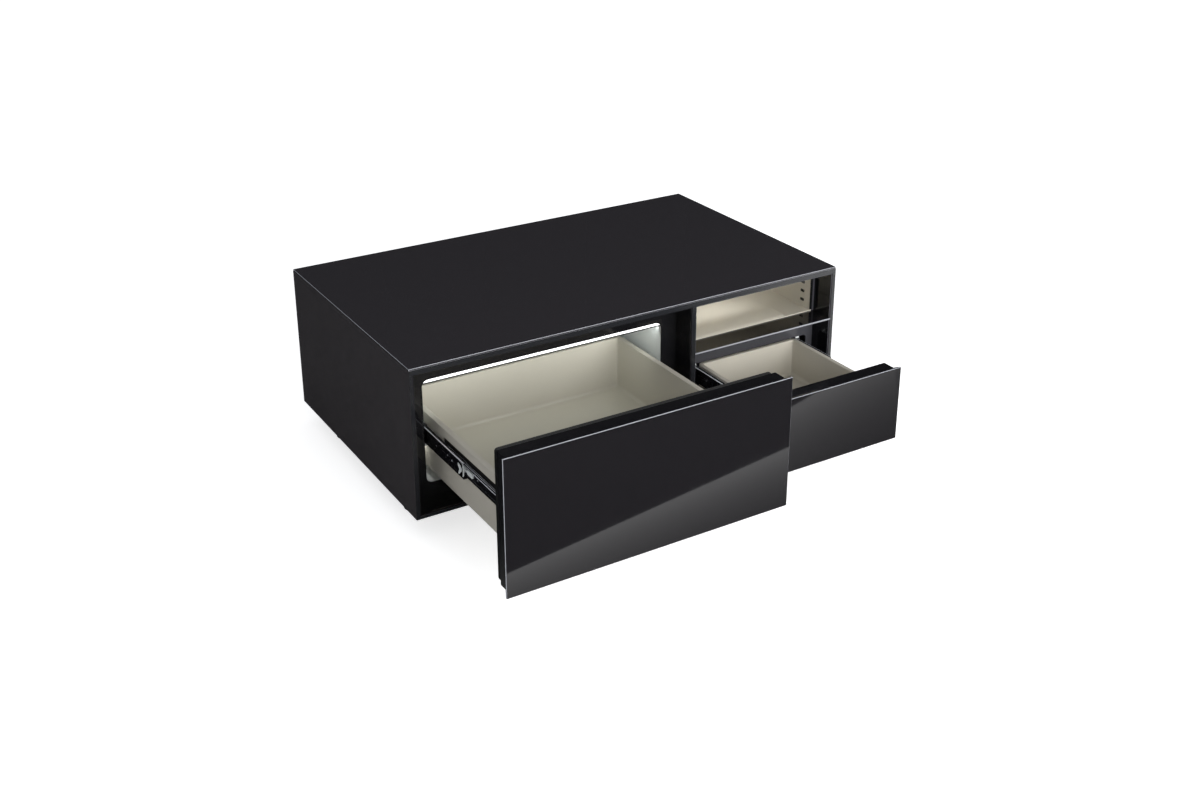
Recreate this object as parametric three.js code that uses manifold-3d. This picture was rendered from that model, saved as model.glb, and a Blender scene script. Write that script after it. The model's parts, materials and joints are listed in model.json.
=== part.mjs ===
// Refrigerator coffee table: a low cabinet with an insulated drawer on the left,
// and a niche over a small storage drawer on the right. Both drawers stand fully open.
// Millimetres, +Z up, +X to the right, front towards -Y.
// Pieces are laid out from the cabinet's lower left front corner, with the drawers closed,
// and the groups at the end place the cabinet and open the drawers.
import * as THREE from 'three';
import { mergeVertices } from 'three/addons/utils/BufferGeometryUtils.js';
import Module from 'manifold-3d';

const wasm = await Module();
wasm.setup();

// Cabinet
const table_width = 1000;
const table_depth = 600;
const cabinet_height = 314;
const top_glass_thickness = 4;
const top_panel_thickness = 9.4;
const side_panel_thickness = 8;
const bottom_panel_thickness = 6;
const back_panel_thickness = 4;
const back_panel_inset = 2;
const divider_thickness = 9;
const fridge_bay_share = 0.634;
const glass_bevel_width = 1;

// Clearances
const seat_gap = 0.3;
const cut_overrun = 1;

// Glossy surrounds of the bays
const recess_depth = 55;
const recess_wall_thickness = 2;
const recess_setback = 2;
const face_frame_thickness = 3;

// Shelf and niche
const shelf_height = 196;
const shelf_thickness = 3;
const niche_depth = 276;
const niche_wall_thickness = 4;
const niche_floor_thickness = 2;
const niche_side_strip_width = 9;
const pad_width_share = 0.795;
const pad_depth_share = 0.87;
const pad_setback = 3;
const pad_thickness = 1.2;
const pad_corner_radius = 6;

// Charging sockets, one above the other in the niche's right wall
const socket_count = 3;
const socket_width = 13;
const socket_height = 5.6;
const socket_pitch = 20.5;
const socket_top_drop = 37;
const socket_setback = 26;
const socket_module_margin_width = 6;
const socket_module_thickness = 6;
const socket_tongue_thickness = 2;

// Refrigerator opening and liner
const fridge_opening_side_inset = 37.5;
const fridge_opening_sill_height = 37;
const fridge_opening_head_height = 260;
const opening_corner_radius = 16;
const liner_wall_thickness = 2.5;
const foam_back_thickness = 50.5;

// Light bar
const light_bar_height = 10;
const light_bar_depth = 12;

// Evaporator plate behind the liner
const evaporator_thickness = 2;
const evaporator_margin = 45;
const evaporator_height_margin = 22;

// Drawer fronts
const door_side_gap = 7;
const door_bottom_gap = 2.4;
const finger_gap = 19;
const door_glass_thickness = 4;
const door_core_thickness = 36;
const core_side_inset = 10;
const core_end_inset = 4;
const core_flare_depth = 8;
const core_flare_inset = 1;
const gasket_inset = 2;
const gasket_width = 12;
const gasket_gap = 0.5;
const gasket_corner_radius = 6;
const gasket_inner_corner = 3;

// Refrigerator bin
const fridge_bin_base_height = 62;
const fridge_bin_rim_height = 180;
const fridge_bin_length = 490;
const fridge_bin_wall_thickness = 12;
const fridge_bin_floor_thickness = 4;
const fridge_bin_corner_radius = 24;
const groove_height = 15;
const groove_depth = 4;
const groove_rise = 8;
const groove_back_depth = 334;

// Storage opening and bin
const storage_opening_side_inset = 20;
const storage_opening_sill_height = 37;
const storage_opening_head_height = 142;
const storage_opening_corner_radius = 8;
const storage_bin_side_inset = 48;
const storage_bin_base_height = 52;
const storage_bin_rim_height = 138;
const storage_bin_length = 257;
const storage_bin_wall_thickness = 10;
const storage_bin_floor_thickness = 4;
const storage_bin_corner_radius = 20;

// Slides, each of three nested members
const slide_stack_width = 12.4;
const slide_sheet_thickness = 1.4;
const slide_setback = 4;
const outer_member_height = 42;
const outer_member_lip_width = 9.5;
const middle_member_height = 33.4;
const middle_member_start = 2.8;
const middle_member_end = 10.6;
const middle_web_start = 4.4;
const middle_notch_length = 24;
const inner_member_height = 26;
const inner_member_lip_width = 4.5;
const cage_play = 0.3;
const cage_sheet_thickness = 0.8;
const cage_row_width = 4.4;
const cage_length = 90;
const fridge_slide_length = 350;
const fridge_slide_height = 140;
const fridge_travel = 335;
const storage_slide_length = 250;
const storage_slide_height = 118;
const storage_travel = 236;
const bracket_sheet_thickness = 1.5;

// Each group of a drawer moves by its share of the drawer's travel.
const travel_shares = { outer_cages: 0.25, middles: 0.5, inner_cages: 0.75, drawer: 1 };

// Release levers
const lever_length = 40;
const lever_height = 12;
const lever_thickness = 3;
const lever_stem_height = 5;
const lever_head_length = 7;
const lever_play = 0.4;
const lever_lead = 28;

// Machine compartment behind the storage bay
const bulkhead_thickness = 2;
const bulkhead_distance = 345;
const compressor_radius = 58;
const compressor_height = 150;
const compressor_crown_height = 30;
const compressor_crown_shares = [0.25, 0.55, 0.8, 1];
const compressor_base_round = 10;
const compressor_base_rise = 15;
const compressor_x_share = 0.3;
const compressor_y_share = 0.55;
const compressor_foot_length = 172;
const compressor_foot_width = 26;
const compressor_foot_thickness = 3;
const grommet_radius = 9;
const grommet_height = 12;
const condenser_thickness = 44;
const condenser_height = 160;
const condenser_depth_share = 0.77;
const condenser_side_gap = 12;
const condenser_fin_count = 10;
const condenser_fin_thickness = 1.2;
const condenser_pipe_radius = 4;
const condenser_pipe_count = 4;
const condenser_pipe_margin = 20;
const fan_size = 120;
const fan_thickness = 25;
const fan_wall_thickness = 3;
const fan_hub_radius = 19;
const fan_blade_count = 7;
const fan_blade_thickness = 1.6;
const fan_blade_pitch = 38;
const fan_spoke_width = 6;
const fan_spoke_thickness = 3;
const fan_shaft_radius = 2;
const fan_play = 0.6;
const fan_tip_play = 2.4;
const fan_blade_width_share = 0.9;
const fan_blade_root_radius = 9.5;
const pipe_radius = 3;
const pipe_clearance = 1.2;
const pipe_rise = 30;
const pipe_run_in_foam = 60;
const pipe_offset = 22;
const dryer_radius = 8;
const dryer_length = 60;
const control_box_width = 160;
const control_box_depth = 95;
const control_box_height = 60;
const control_box_drop = 14;

// Power inlet in the back panel
const inlet_width = 27;
const inlet_height = 20;
const inlet_depth = 20;
const inlet_socket_depth = 15;
const inlet_wall_thickness = 2.5;
const inlet_flange_width = 4;
const inlet_pin_width = 2;
const inlet_pin_height = 4;
const inlet_pin_pitch = 6.5;
const inlet_side_inset = 60;
const inlet_bottom_inset = 30;

// Air slots in the back panel
const slot_columns = 2;
const slot_rows = 11;
const slot_length = 110;
const slot_height = 6;
const slot_column_pitch = 135;
const slot_row_pitch = 16;

// Screw holes in the back panel
const screw_hole_radius = 2.1;
const screw_edge_inset = 9;
const screws_along_width = 5;
const screws_along_height = 3;

// Levelling feet
const foot_height = 45;
const foot_radius = 18;
const foot_pad_height = 14;
const foot_taper_height = 3;
const foot_neck_radius = 11;
const foot_stem_radius = 5;
const foot_x_inset = 45;
const foot_y_inset = 122;
const foot_boss_radius = 14;
const foot_boss_height = 14;
const foot_stem_engagement = 16;
const foot_stem_play = 0.4;
const foot_shoulder_gap = 1;

// Colours
const satin_black = { color: '#29282a', roughness: 0.45, metalness: 0 };
const gloss_black = { color: '#141415', roughness: 0.12, metalness: 0 };
const glass_black = { color: '#1c1c1e', roughness: 0.05, metalness: 0 };
const rubber_black = { color: '#1a1a1a', roughness: 0.9, metalness: 0 };
const liner_grey = { color: '#b4b6ae', roughness: 0.4, metalness: 0 };
const bin_cream = { color: '#c3c0b4', roughness: 0.5, metalness: 0 };
const light_white = { color: '#ffffff', roughness: 0.4, metalness: 0 };
const foam_yellow = { color: '#d8cfa0', roughness: 0.9, metalness: 0 };
const zinc_grey = { color: '#9a9c9e', roughness: 0.4, metalness: 0.8 };
const slide_black = { color: '#1b1c1e', roughness: 0.35, metalness: 0.6 };
const copper_red = { color: '#b87348', roughness: 0.35, metalness: 0.9 };
const lever_grey = { color: '#b9bbbc', roughness: 0.4, metalness: 0 };

// Places worked out from the sizes above
const panel_top = cabinet_height - top_glass_thickness - seat_gap;
const panel_underside = panel_top - top_panel_thickness;
const inside_left = side_panel_thickness;
const inside_right = table_width - side_panel_thickness;
const bays_width = inside_right - inside_left - divider_thickness;
const divider_left = inside_left + bays_width * fridge_bay_share;
const divider_right = divider_left + divider_thickness;
const fridge_bay = { left: inside_left + seat_gap, right: divider_left - seat_gap };
const storage_bay = { left: divider_right + seat_gap, right: inside_right - seat_gap };
const fridge_middle = (inside_left + divider_left) / 2;
const storage_middle = (divider_right + inside_right) / 2;
const bay_bottom = bottom_panel_thickness + seat_gap;
const bay_top = panel_underside - seat_gap;
const shelf_underside = shelf_height - shelf_thickness;
const frame_back = recess_depth + face_frame_thickness;
const back_panel_outside = table_depth - back_panel_inset;
const back_panel_inside = back_panel_outside - back_panel_thickness;
const machine_front = bulkhead_distance + bulkhead_thickness + seat_gap;
const door_bottom = bay_bottom + recess_wall_thickness + door_bottom_gap;
const core_front = door_glass_thickness + seat_gap;
const core_back = core_front + door_core_thickness;
const bin_front = core_back + seat_gap;
const slide_front = frame_back + slide_setback;

// Solids
function toSolid(geometry) {
  const bare = geometry.clone();
  bare.deleteAttribute('normal');
  bare.deleteAttribute('uv');
  const merged = mergeVertices(bare);
  const vertProperties = new Float32Array(merged.attributes.position.array);
  const triVerts = new Uint32Array(merged.index.array);
  return new wasm.Manifold(new wasm.Mesh({ numProp: 3, vertProperties, triVerts }));
}

function toGeometry(solid) {
  const mesh = solid.getMesh();
  const geometry = new THREE.BufferGeometry();
  geometry.setAttribute('position', new THREE.BufferAttribute(mesh.vertProperties, 3));
  geometry.setIndex(new THREE.BufferAttribute(mesh.triVerts, 1));
  return geometry;
}

function joined(solids) {
  return solids.reduce((whole, piece) => whole.add(piece));
}

function cut(solid, tools) {
  return tools.reduce((rest, tool) => rest.subtract(tool), solid);
}

function boxGeometry([x0, x1], [y0, y1], [z0, z1]) {
  const geometry = new THREE.BoxGeometry(x1 - x0, y1 - y0, z1 - z0);
  return geometry.translate((x0 + x1) / 2, (y0 + y1) / 2, (z0 + z1) / 2);
}

function box(xs, ys, zs) {
  return toSolid(boxGeometry(xs, ys, zs));
}

function roundedOutline([a0, a1], [b0, b1], radius, segments) {
  const shape = new THREE.Shape();
  shape.moveTo(a0 + radius, b0);
  shape.lineTo(a1 - radius, b0);
  shape.absarc(a1 - radius, b0 + radius, radius, -Math.PI / 2, 0, false);
  shape.lineTo(a1, b1 - radius);
  shape.absarc(a1 - radius, b1 - radius, radius, 0, Math.PI / 2, false);
  shape.lineTo(a0 + radius, b1);
  shape.absarc(a0 + radius, b1 - radius, radius, Math.PI / 2, Math.PI, false);
  shape.lineTo(a0, b0 + radius);
  shape.absarc(a0 + radius, b0 + radius, radius, Math.PI, Math.PI * 1.5, false);
  return new THREE.Shape(shape.getPoints(segments));
}

// An outline in X and Z, carried along Y
function alongY(shape, [y0, y1]) {
  const geometry = new THREE.ExtrudeGeometry(shape, { depth: y1 - y0, bevelEnabled: false });
  return toSolid(geometry.rotateX(Math.PI / 2).translate(0, y1, 0));
}

// An outline in X and Y, carried along Z
function alongZ(shape, [z0, z1]) {
  const geometry = new THREE.ExtrudeGeometry(shape, { depth: z1 - z0, bevelEnabled: false });
  return toSolid(geometry.translate(0, 0, z0));
}

function roundedAlongY(xs, ys, zs, radius, segments = 6) {
  return alongY(roundedOutline(xs, zs, radius, segments), ys);
}

function roundedAlongZ(xs, ys, zs, radius, segments = 6) {
  return alongZ(roundedOutline(xs, ys, radius, segments), zs);
}

function uprightRod(x, y, [z0, z1], radius, sides = 16) {
  const geometry = new THREE.CylinderGeometry(radius, radius, z1 - z0, sides);
  return toSolid(geometry.rotateX(Math.PI / 2).translate(x, y, (z0 + z1) / 2));
}

function rodAlongX([x0, x1], y, z, radius, sides = 16) {
  const geometry = new THREE.CylinderGeometry(radius, radius, x1 - x0, sides);
  return toSolid(geometry.rotateZ(Math.PI / 2).translate((x0 + x1) / 2, y, z));
}

function rodAlongY(x, [y0, y1], z, radius, sides = 12) {
  const geometry = new THREE.CylinderGeometry(radius, radius, y1 - y0, sides);
  return toSolid(geometry.translate(x, (y0 + y1) / 2, z));
}

// A profile of radii and heights, turned round an upright axis
function turnedAt(x, y, z, points, sides = 24) {
  const profile = points.map(([radius, height]) => new THREE.Vector2(radius, height));
  const geometry = new THREE.LatheGeometry(profile, sides).rotateX(Math.PI / 2);
  return toSolid(geometry.translate(x, y, z));
}

function pipe(points, radius, steps) {
  const path = new THREE.CatmullRomCurve3(points.map(p => new THREE.Vector3(...p)), false, 'centripetal');
  const outline = new THREE.Shape();
  outline.absarc(0, 0, radius, 0, Math.PI * 2, false);
  const section = new THREE.Shape(outline.getPoints(4).slice(0, -1));
  const options = { steps, extrudePath: path, bevelEnabled: false };
  return toSolid(new THREE.ExtrudeGeometry(section, options));
}

function piece(name, solid, look) {
  const mesh = new THREE.Mesh(toGeometry(solid), new THREE.MeshStandardMaterial(look));
  mesh.name = name;
  return mesh;
}

// A flat pane with a fine bevel round both faces, its lower bevel ending at height 0
function bevelledPane(across, along, thickness) {
  const outline = roundedOutline(grown(across, -glass_bevel_width), grown(along, -glass_bevel_width),
    glass_bevel_width, 2);
  return new THREE.ExtrudeGeometry(outline, {
    depth: thickness - 2 * glass_bevel_width,
    bevelEnabled: true,
    bevelThickness: glass_bevel_width,
    bevelSize: glass_bevel_width,
    bevelSegments: 1
  });
}

// Cabinet shell
function topGlass() {
  const bevelled = bevelledPane([0, table_width], [0, table_depth], top_glass_thickness);
  const lift = cabinet_height - top_glass_thickness + glass_bevel_width;
  return piece('top_glass', toSolid(bevelled.translate(0, 0, lift)), glass_black);
}

function topPanel() {
  const solid = box([0, table_width], [0, table_depth], [panel_underside, panel_top]);
  return piece('top_panel', solid, satin_black);
}

function sidePanel(name, x0) {
  const solid = box([x0, x0 + side_panel_thickness], [0, table_depth], [0, panel_underside - seat_gap]);
  return piece(name, solid, satin_black);
}

function footPlaces() {
  const xs = [foot_x_inset, table_width - foot_x_inset];
  const ys = [foot_y_inset, table_depth - foot_y_inset];
  return ys.flatMap(y => xs.map(x => [x, y]));
}

// The bottom panel carries a threaded boss over each foot.
function bottomPanel() {
  const xs = [fridge_bay.left, storage_bay.right];
  const plate = box(xs, [0, back_panel_outside], [0, bottom_panel_thickness]);
  const boss_top = bottom_panel_thickness + foot_boss_height;
  const bosses = footPlaces().map(([x, y]) => uprightRod(x, y, [0, boss_top], foot_boss_radius));
  const bore_top = foot_stem_engagement + foot_shoulder_gap;
  const bores = footPlaces().map(([x, y]) =>
    uprightRod(x, y, [-cut_overrun, bore_top], foot_stem_radius + foot_stem_play));
  return piece('bottom_panel', cut(joined([plate, ...bosses]), bores), satin_black);
}

function centreDivider() {
  const plate = box([divider_left, divider_right], [0, back_panel_inside - seat_gap],
    [bay_bottom, bay_top]);
  const [, through] = pipePlaces();
  const hole = rodAlongX([divider_left - cut_overrun, divider_right + cut_overrun], through[1], through[2],
    pipe_radius + pipe_clearance);
  return piece('centre_divider', cut(plate, [hole]), satin_black);
}

function slotPlaces() {
  const middle = (slot_column_pitch * (slot_columns - 1)) / 2;
  const rise = (slot_row_pitch * (slot_rows - 1)) / 2;
  const height = (bay_bottom + bay_top) / 2;
  const places = [];
  for (let column = 0; column < slot_columns; column += 1) {
    for (let row = 0; row < slot_rows; row += 1) {
      const x = storage_middle - middle + column * slot_column_pitch;
      places.push([x, height - rise + row * slot_row_pitch]);
    }
  }
  return places;
}

function spread(from, to, count) {
  return Array.from({ length: count }, (_, index) => from + ((to - from) * index) / (count - 1));
}

function screwPlaces() {
  const left = fridge_bay.left + screw_edge_inset;
  const right = storage_bay.right - screw_edge_inset;
  const low = bay_bottom + screw_edge_inset;
  const high = bay_top - screw_edge_inset;
  const rows = [low, high].flatMap(z => spread(left, right, screws_along_width).map(x => [x, z]));
  const between = spread(low, high, screws_along_height).slice(1, -1);
  const columns = between.flatMap(z => [[left, z], [right, z]]);
  return [...rows, ...columns];
}

function inletPlace() {
  return [storage_bay.left + inlet_side_inset, bay_bottom + inlet_bottom_inset];
}

function backPanel() {
  const through = [back_panel_inside - cut_overrun, back_panel_outside + cut_overrun];
  const plate = box([fridge_bay.left, storage_bay.right], [back_panel_inside, back_panel_outside],
    [bay_bottom, bay_top]);
  const slots = slotPlaces().map(([x, z]) =>
    box([x - slot_length / 2, x + slot_length / 2], through, [z - slot_height / 2, z + slot_height / 2]));
  const holes = screwPlaces().map(([x, z]) => rodAlongY(x, through, z, screw_hole_radius, 8));
  const [x, z] = inletPlace();
  const half = inlet_width / 2 + seat_gap;
  const tall = inlet_height / 2 + seat_gap;
  const window = box([x - half, x + half], through, [z - tall, z + tall]);
  return piece('back_panel', cut(plate, [...slots, ...holes, window]), satin_black);
}

// Glossy surround: recess walls that run forward round a face frame with an opening
function surround(bay, [z0, z1], opening) {
  const shell = box([bay.left, bay.right], [recess_setback, recess_depth + face_frame_thickness], [z0, z1]);
  const recess = box([bay.left + recess_wall_thickness, bay.right - recess_wall_thickness],
    [recess_setback - cut_overrun, recess_depth], [z0 + recess_wall_thickness, z1 - recess_wall_thickness]);
  const window = roundedAlongY(opening.xs, [recess_depth - cut_overrun, frame_back + cut_overrun],
    opening.zs, opening.corner);
  return cut(shell, [recess, window]);
}

const fridge_opening = {
  xs: [inside_left + fridge_opening_side_inset, divider_left - fridge_opening_side_inset],
  zs: [fridge_opening_sill_height, fridge_opening_head_height],
  corner: opening_corner_radius
};

const storage_opening = {
  xs: [divider_right + storage_opening_side_inset, inside_right - storage_opening_side_inset],
  zs: [storage_opening_sill_height, storage_opening_head_height],
  corner: storage_opening_corner_radius
};

function fridgeSurround() {
  return piece('fridge_surround', surround(fridge_bay, [bay_bottom, bay_top], fridge_opening), gloss_black);
}

function storageSurround() {
  const heights = [bay_bottom, shelf_underside - seat_gap];
  return piece('storage_surround', surround(storage_bay, heights, storage_opening), gloss_black);
}

// The niche's surround has no lower wall: the shelf closes it.
function nicheSurround() {
  const low = shelf_height + seat_gap;
  const shell = box([storage_bay.left, storage_bay.right], [recess_setback, frame_back], [low, bay_top]);
  const recess = box([storage_bay.left + recess_wall_thickness, storage_bay.right - recess_wall_thickness],
    [recess_setback - cut_overrun, recess_depth], [low - cut_overrun, bay_top - recess_wall_thickness]);
  const window = box(grown([storage_bay.left, storage_bay.right], -niche_side_strip_width),
    [recess_depth - cut_overrun, frame_back + cut_overrun],
    [low - cut_overrun, bay_top - recess_wall_thickness]);
  return piece('niche_surround', cut(shell, [recess, window]), gloss_black);
}

function nicheShelf() {
  const solid = box([storage_bay.left, storage_bay.right], [0, bulkhead_distance - seat_gap],
    [shelf_underside, shelf_height]);
  return piece('niche_shelf', solid, gloss_black);
}

const niche_outside = {
  xs: grown([storage_bay.left, storage_bay.right], -niche_side_strip_width - seat_gap),
  ys: [recess_depth, recess_depth + niche_depth + niche_wall_thickness],
  zs: [shelf_height + seat_gap, bay_top - recess_wall_thickness - seat_gap]
};

const niche_inside = {
  xs: [niche_outside.xs[0] + niche_wall_thickness, niche_outside.xs[1] - niche_wall_thickness],
  ys: [recess_depth, recess_depth + niche_depth],
  zs: [niche_outside.zs[0] + niche_floor_thickness, niche_outside.zs[1] - niche_wall_thickness]
};

function socketHeights() {
  const top = niche_inside.zs[1] - socket_top_drop;
  return Array.from({ length: socket_count }, (_, index) => top - index * socket_pitch);
}

function nicheLiner() {
  const shell = box(niche_outside.xs, niche_outside.ys, niche_outside.zs);
  const hollow_ys = [niche_inside.ys[0] - cut_overrun, niche_inside.ys[1]];
  const hollow = box(niche_inside.xs, hollow_ys, niche_inside.zs);
  const y = niche_inside.ys[0] + socket_setback;
  const slots = socketHeights().map(z =>
    box([niche_inside.xs[1] - cut_overrun, niche_outside.xs[1] + cut_overrun],
      [y - socket_width / 2, y + socket_width / 2], [z - socket_height / 2, z + socket_height / 2]));
  return piece('niche_liner', cut(shell, [hollow, ...slots]), bin_cream);
}

// The pad covers the left part of the niche floor, with a fine seam at its edge.
function chargingPad() {
  const left = niche_inside.xs[0] + pad_setback;
  const front = niche_inside.ys[0] + pad_setback;
  const low = niche_inside.zs[0] + seat_gap;
  const pad_width = (niche_inside.xs[1] - niche_inside.xs[0]) * pad_width_share;
  const solid = roundedAlongZ([left, left + pad_width], [front, front + niche_depth * pad_depth_share],
    [low, low + pad_thickness], pad_corner_radius, 3);
  return piece('charging_pad', solid, bin_cream);
}

// Module with one contact tongue in each socket, on the outside of the liner's wall
function socketModule() {
  const heights = socketHeights();
  const y = niche_inside.ys[0] + socket_setback;
  const half = socket_width / 2 + socket_module_margin_width;
  const inner = niche_outside.xs[1] + seat_gap;
  const body = box([inner, inner + socket_module_thickness], [y - half, y + half],
    [heights[socket_count - 1] - half, heights[0] + half]);
  const tongues = heights.map(z =>
    box([niche_inside.xs[1] + socket_tongue_thickness / 2, inner + seat_gap],
      [y - socket_width / 2 + socket_tongue_thickness, y + socket_width / 2 - socket_tongue_thickness],
      [z - socket_tongue_thickness / 2, z + socket_tongue_thickness / 2]));
  return piece('charging_socket_module', joined([body, ...tongues]), rubber_black);
}

// Refrigerator cavity
const liner_outside = {
  xs: [fridge_opening.xs[0] + seat_gap, fridge_opening.xs[1] - seat_gap],
  ys: [recess_depth, back_panel_inside - foam_back_thickness],
  zs: [fridge_opening.zs[0] + seat_gap, fridge_opening.zs[1] - seat_gap]
};

const liner_inside = {
  xs: [liner_outside.xs[0] + liner_wall_thickness, liner_outside.xs[1] - liner_wall_thickness],
  ys: [recess_depth, liner_outside.ys[1] - liner_wall_thickness],
  zs: [liner_outside.zs[0] + liner_wall_thickness, liner_outside.zs[1] - liner_wall_thickness]
};

const liner_outer_corner = opening_corner_radius - seat_gap;
const liner_inner_corner = liner_outer_corner - liner_wall_thickness;

function fridgeLiner() {
  const shell = roundedAlongY(liner_outside.xs, liner_outside.ys, liner_outside.zs, liner_outer_corner);
  const hollow = roundedAlongY(liner_inside.xs, [liner_inside.ys[0] - cut_overrun, liner_inside.ys[1]],
    liner_inside.zs, liner_inner_corner);
  return piece('fridge_liner', cut(shell, [hollow]), liner_grey);
}

function lightBar() {
  const top = liner_inside.zs[1] - seat_gap;
  const xs = [liner_inside.xs[0] + seat_gap, liner_inside.xs[1] - seat_gap];
  const ys = [recess_depth, recess_depth + light_bar_depth];
  const rounded = roundedAlongY(xs, ys, [liner_inside.zs[0], top], liner_inner_corner);
  const band = box([xs[0] - cut_overrun, xs[1] + cut_overrun], [ys[0] - cut_overrun, ys[1] + cut_overrun],
    [top - light_bar_height, top + cut_overrun]);
  return piece('light_bar', rounded.intersect(band), light_white);
}

const evaporator = {
  xs: [liner_inside.xs[0] + evaporator_margin, liner_inside.xs[1] - evaporator_margin],
  ys: [liner_outside.ys[1] + seat_gap, liner_outside.ys[1] + seat_gap + evaporator_thickness],
  zs: [liner_inside.zs[0] + evaporator_height_margin, liner_inside.zs[1] - evaporator_height_margin]
};

function grown([low, high], by) {
  return [low - by, high + by];
}

// Foam fills the refrigerator's bay round the liner, the plate and the bosses of the feet.
function insulationFoam() {
  const block = box([fridge_bay.left, fridge_bay.right],
    [frame_back + seat_gap, back_panel_inside - seat_gap], [bay_bottom, bay_top]);
  const liner_pocket = roundedAlongY(grown(liner_outside.xs, seat_gap),
    [liner_outside.ys[0] - cut_overrun, liner_outside.ys[1] + seat_gap],
    grown(liner_outside.zs, seat_gap), opening_corner_radius);
  const plate_pocket = box(grown(evaporator.xs, seat_gap), grown(evaporator.ys, seat_gap * 2),
    grown(evaporator.zs, seat_gap));
  const [start, through] = pipePlaces();
  const pipe_bore = rodAlongX([start[0] - pipe_radius, fridge_bay.right + cut_overrun], through[1],
    through[2], pipe_radius + pipe_clearance);
  const boss_top = bottom_panel_thickness + foot_boss_height + seat_gap;
  const boss_pockets = footPlaces().filter(([x]) => x < divider_left).map(([x, y]) =>
    uprightRod(x, y, [bay_bottom - cut_overrun, boss_top], foot_boss_radius + seat_gap));
  const solid = cut(block, [liner_pocket, plate_pocket, pipe_bore, ...boss_pockets]);
  return piece('insulation_foam', solid, foam_yellow);
}

// Machine compartment
function machineBulkhead() {
  const solid = box([storage_bay.left, storage_bay.right],
    [bulkhead_distance, bulkhead_distance + bulkhead_thickness], [bay_bottom, bay_top]);
  return piece('machine_bulkhead', solid, zinc_grey);
}

const machine = {
  xs: [storage_bay.left, storage_bay.right],
  ys: [machine_front, back_panel_inside - seat_gap]
};

const compressor_place = [
  machine.xs[0] + (machine.xs[1] - machine.xs[0]) * compressor_x_share,
  machine.ys[0] + (machine.ys[1] - machine.ys[0]) * compressor_y_share
];

const compressor_bottom = bay_bottom + grommet_height;

function compressorShell() {
  const [x, y] = compressor_place;
  const crown = compressor_crown_shares.map(share => share * Math.PI / 2);
  const high = compressor_height - compressor_crown_height;
  const top_arc = crown.map(angle =>
    [compressor_radius * Math.cos(angle), high + compressor_crown_height * Math.sin(angle)]);
  const points = [[0, 0], [compressor_radius - compressor_base_round, 0],
    [compressor_radius, compressor_base_rise], [compressor_radius, high], ...top_arc];
  points[points.length - 1][0] = 0;
  const low = compressor_bottom + compressor_foot_thickness;
  const shell = turnedAt(x, y, low, points);
  const half = compressor_foot_length / 2;
  const wide = compressor_foot_width / 2;
  const off = compressor_radius - compressor_foot_width;
  const feet = [-1, 1].map(side =>
    roundedAlongZ([x - half, x + half], [y + side * off - wide, y + side * off + wide],
      [compressor_bottom, low + seat_gap], wide / 2, 2));
  const reach = half - grommet_radius;
  const grommet_zs = [bay_bottom, compressor_bottom + seat_gap];
  const grommets = [-1, 1].flatMap(a => [-1, 1].map(b =>
    uprightRod(x + a * reach, y + b * off, grommet_zs, grommet_radius, 12)));
  return piece('compressor', joined([shell, ...feet, ...grommets]), rubber_black);
}

// Height of the domed shell at a distance from its axis
function crownHeight(distance) {
  const angle = Math.acos(distance / compressor_radius);
  const high = compressor_height - compressor_crown_height;
  return compressor_bottom + compressor_foot_thickness + high + compressor_crown_height * Math.sin(angle);
}

const condenser_right = machine.xs[1] - condenser_side_gap;
const condenser_left = condenser_right - condenser_thickness;
const condenser_middle = (machine.ys[0] + machine.ys[1]) / 2;
const condenser_bottom = bottom_panel_thickness + foot_boss_height + seat_gap;

// Fins stand across the air stream, threaded on pipes that run along Y. A rail at each end ties
// the pipes, and the filter dryer and the line to the compressor rise from the rear rail.
function condenserBlock() {
  const half_depth = (machine.ys[1] - machine.ys[0]) * condenser_depth_share / 2;
  const ys = [condenser_middle - half_depth, condenser_middle + half_depth];
  const zs = [condenser_bottom, condenser_bottom + condenser_height];
  const places = spread(ys[0] + condenser_fin_thickness, ys[1] - condenser_fin_thickness,
    condenser_fin_count);
  const fins = places.map(y =>
    box([condenser_left, condenser_right],
      [y - condenser_fin_thickness / 2, y + condenser_fin_thickness / 2], zs));
  const x = (condenser_left + condenser_right) / 2;
  const heights = spread(zs[0] + condenser_pipe_margin, zs[1] - condenser_pipe_margin,
    condenser_pipe_count);
  const pipes = heights.map(z => rodAlongY(x, ys, z, condenser_pipe_radius, 6));
  const dryer_y = places.at(-1);
  const dryer_top = zs[1] + dryer_length;
  const dryer = uprightRod(x, dryer_y, [zs[1] - dryer_radius, dryer_top], dryer_radius, 12);
  const [cx, cy] = compressor_place;
  const high = dryer_top + pipe_rise;
  const end = crownHeight(pipe_offset - pipe_radius) + seat_gap;
  const line = pipe([[x, dryer_y, dryer_top - pipe_radius], [x, dryer_y, high - pipe_radius],
    [x - pipe_rise, dryer_y, high], [cx + pipe_offset + pipe_rise, cy, high],
    [cx + pipe_offset, cy, high - pipe_rise], [cx + pipe_offset, cy, end]], pipe_radius, 24);
  return piece('condenser', joined([...fins, ...pipes, dryer, line]), zinc_grey);
}

const fan_right = condenser_left - seat_gap;
const fan_centre = [
  fan_right - fan_thickness / 2,
  condenser_middle,
  condenser_bottom + condenser_height / 2
];

function acrossX(xs, outline) {
  const geometry = new THREE.ExtrudeGeometry(outline, { depth: xs[1] - xs[0], bevelEnabled: false });
  geometry.rotateX(Math.PI / 2).rotateZ(Math.PI / 2);
  return toSolid(geometry.translate(xs[0], 0, 0));
}

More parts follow.
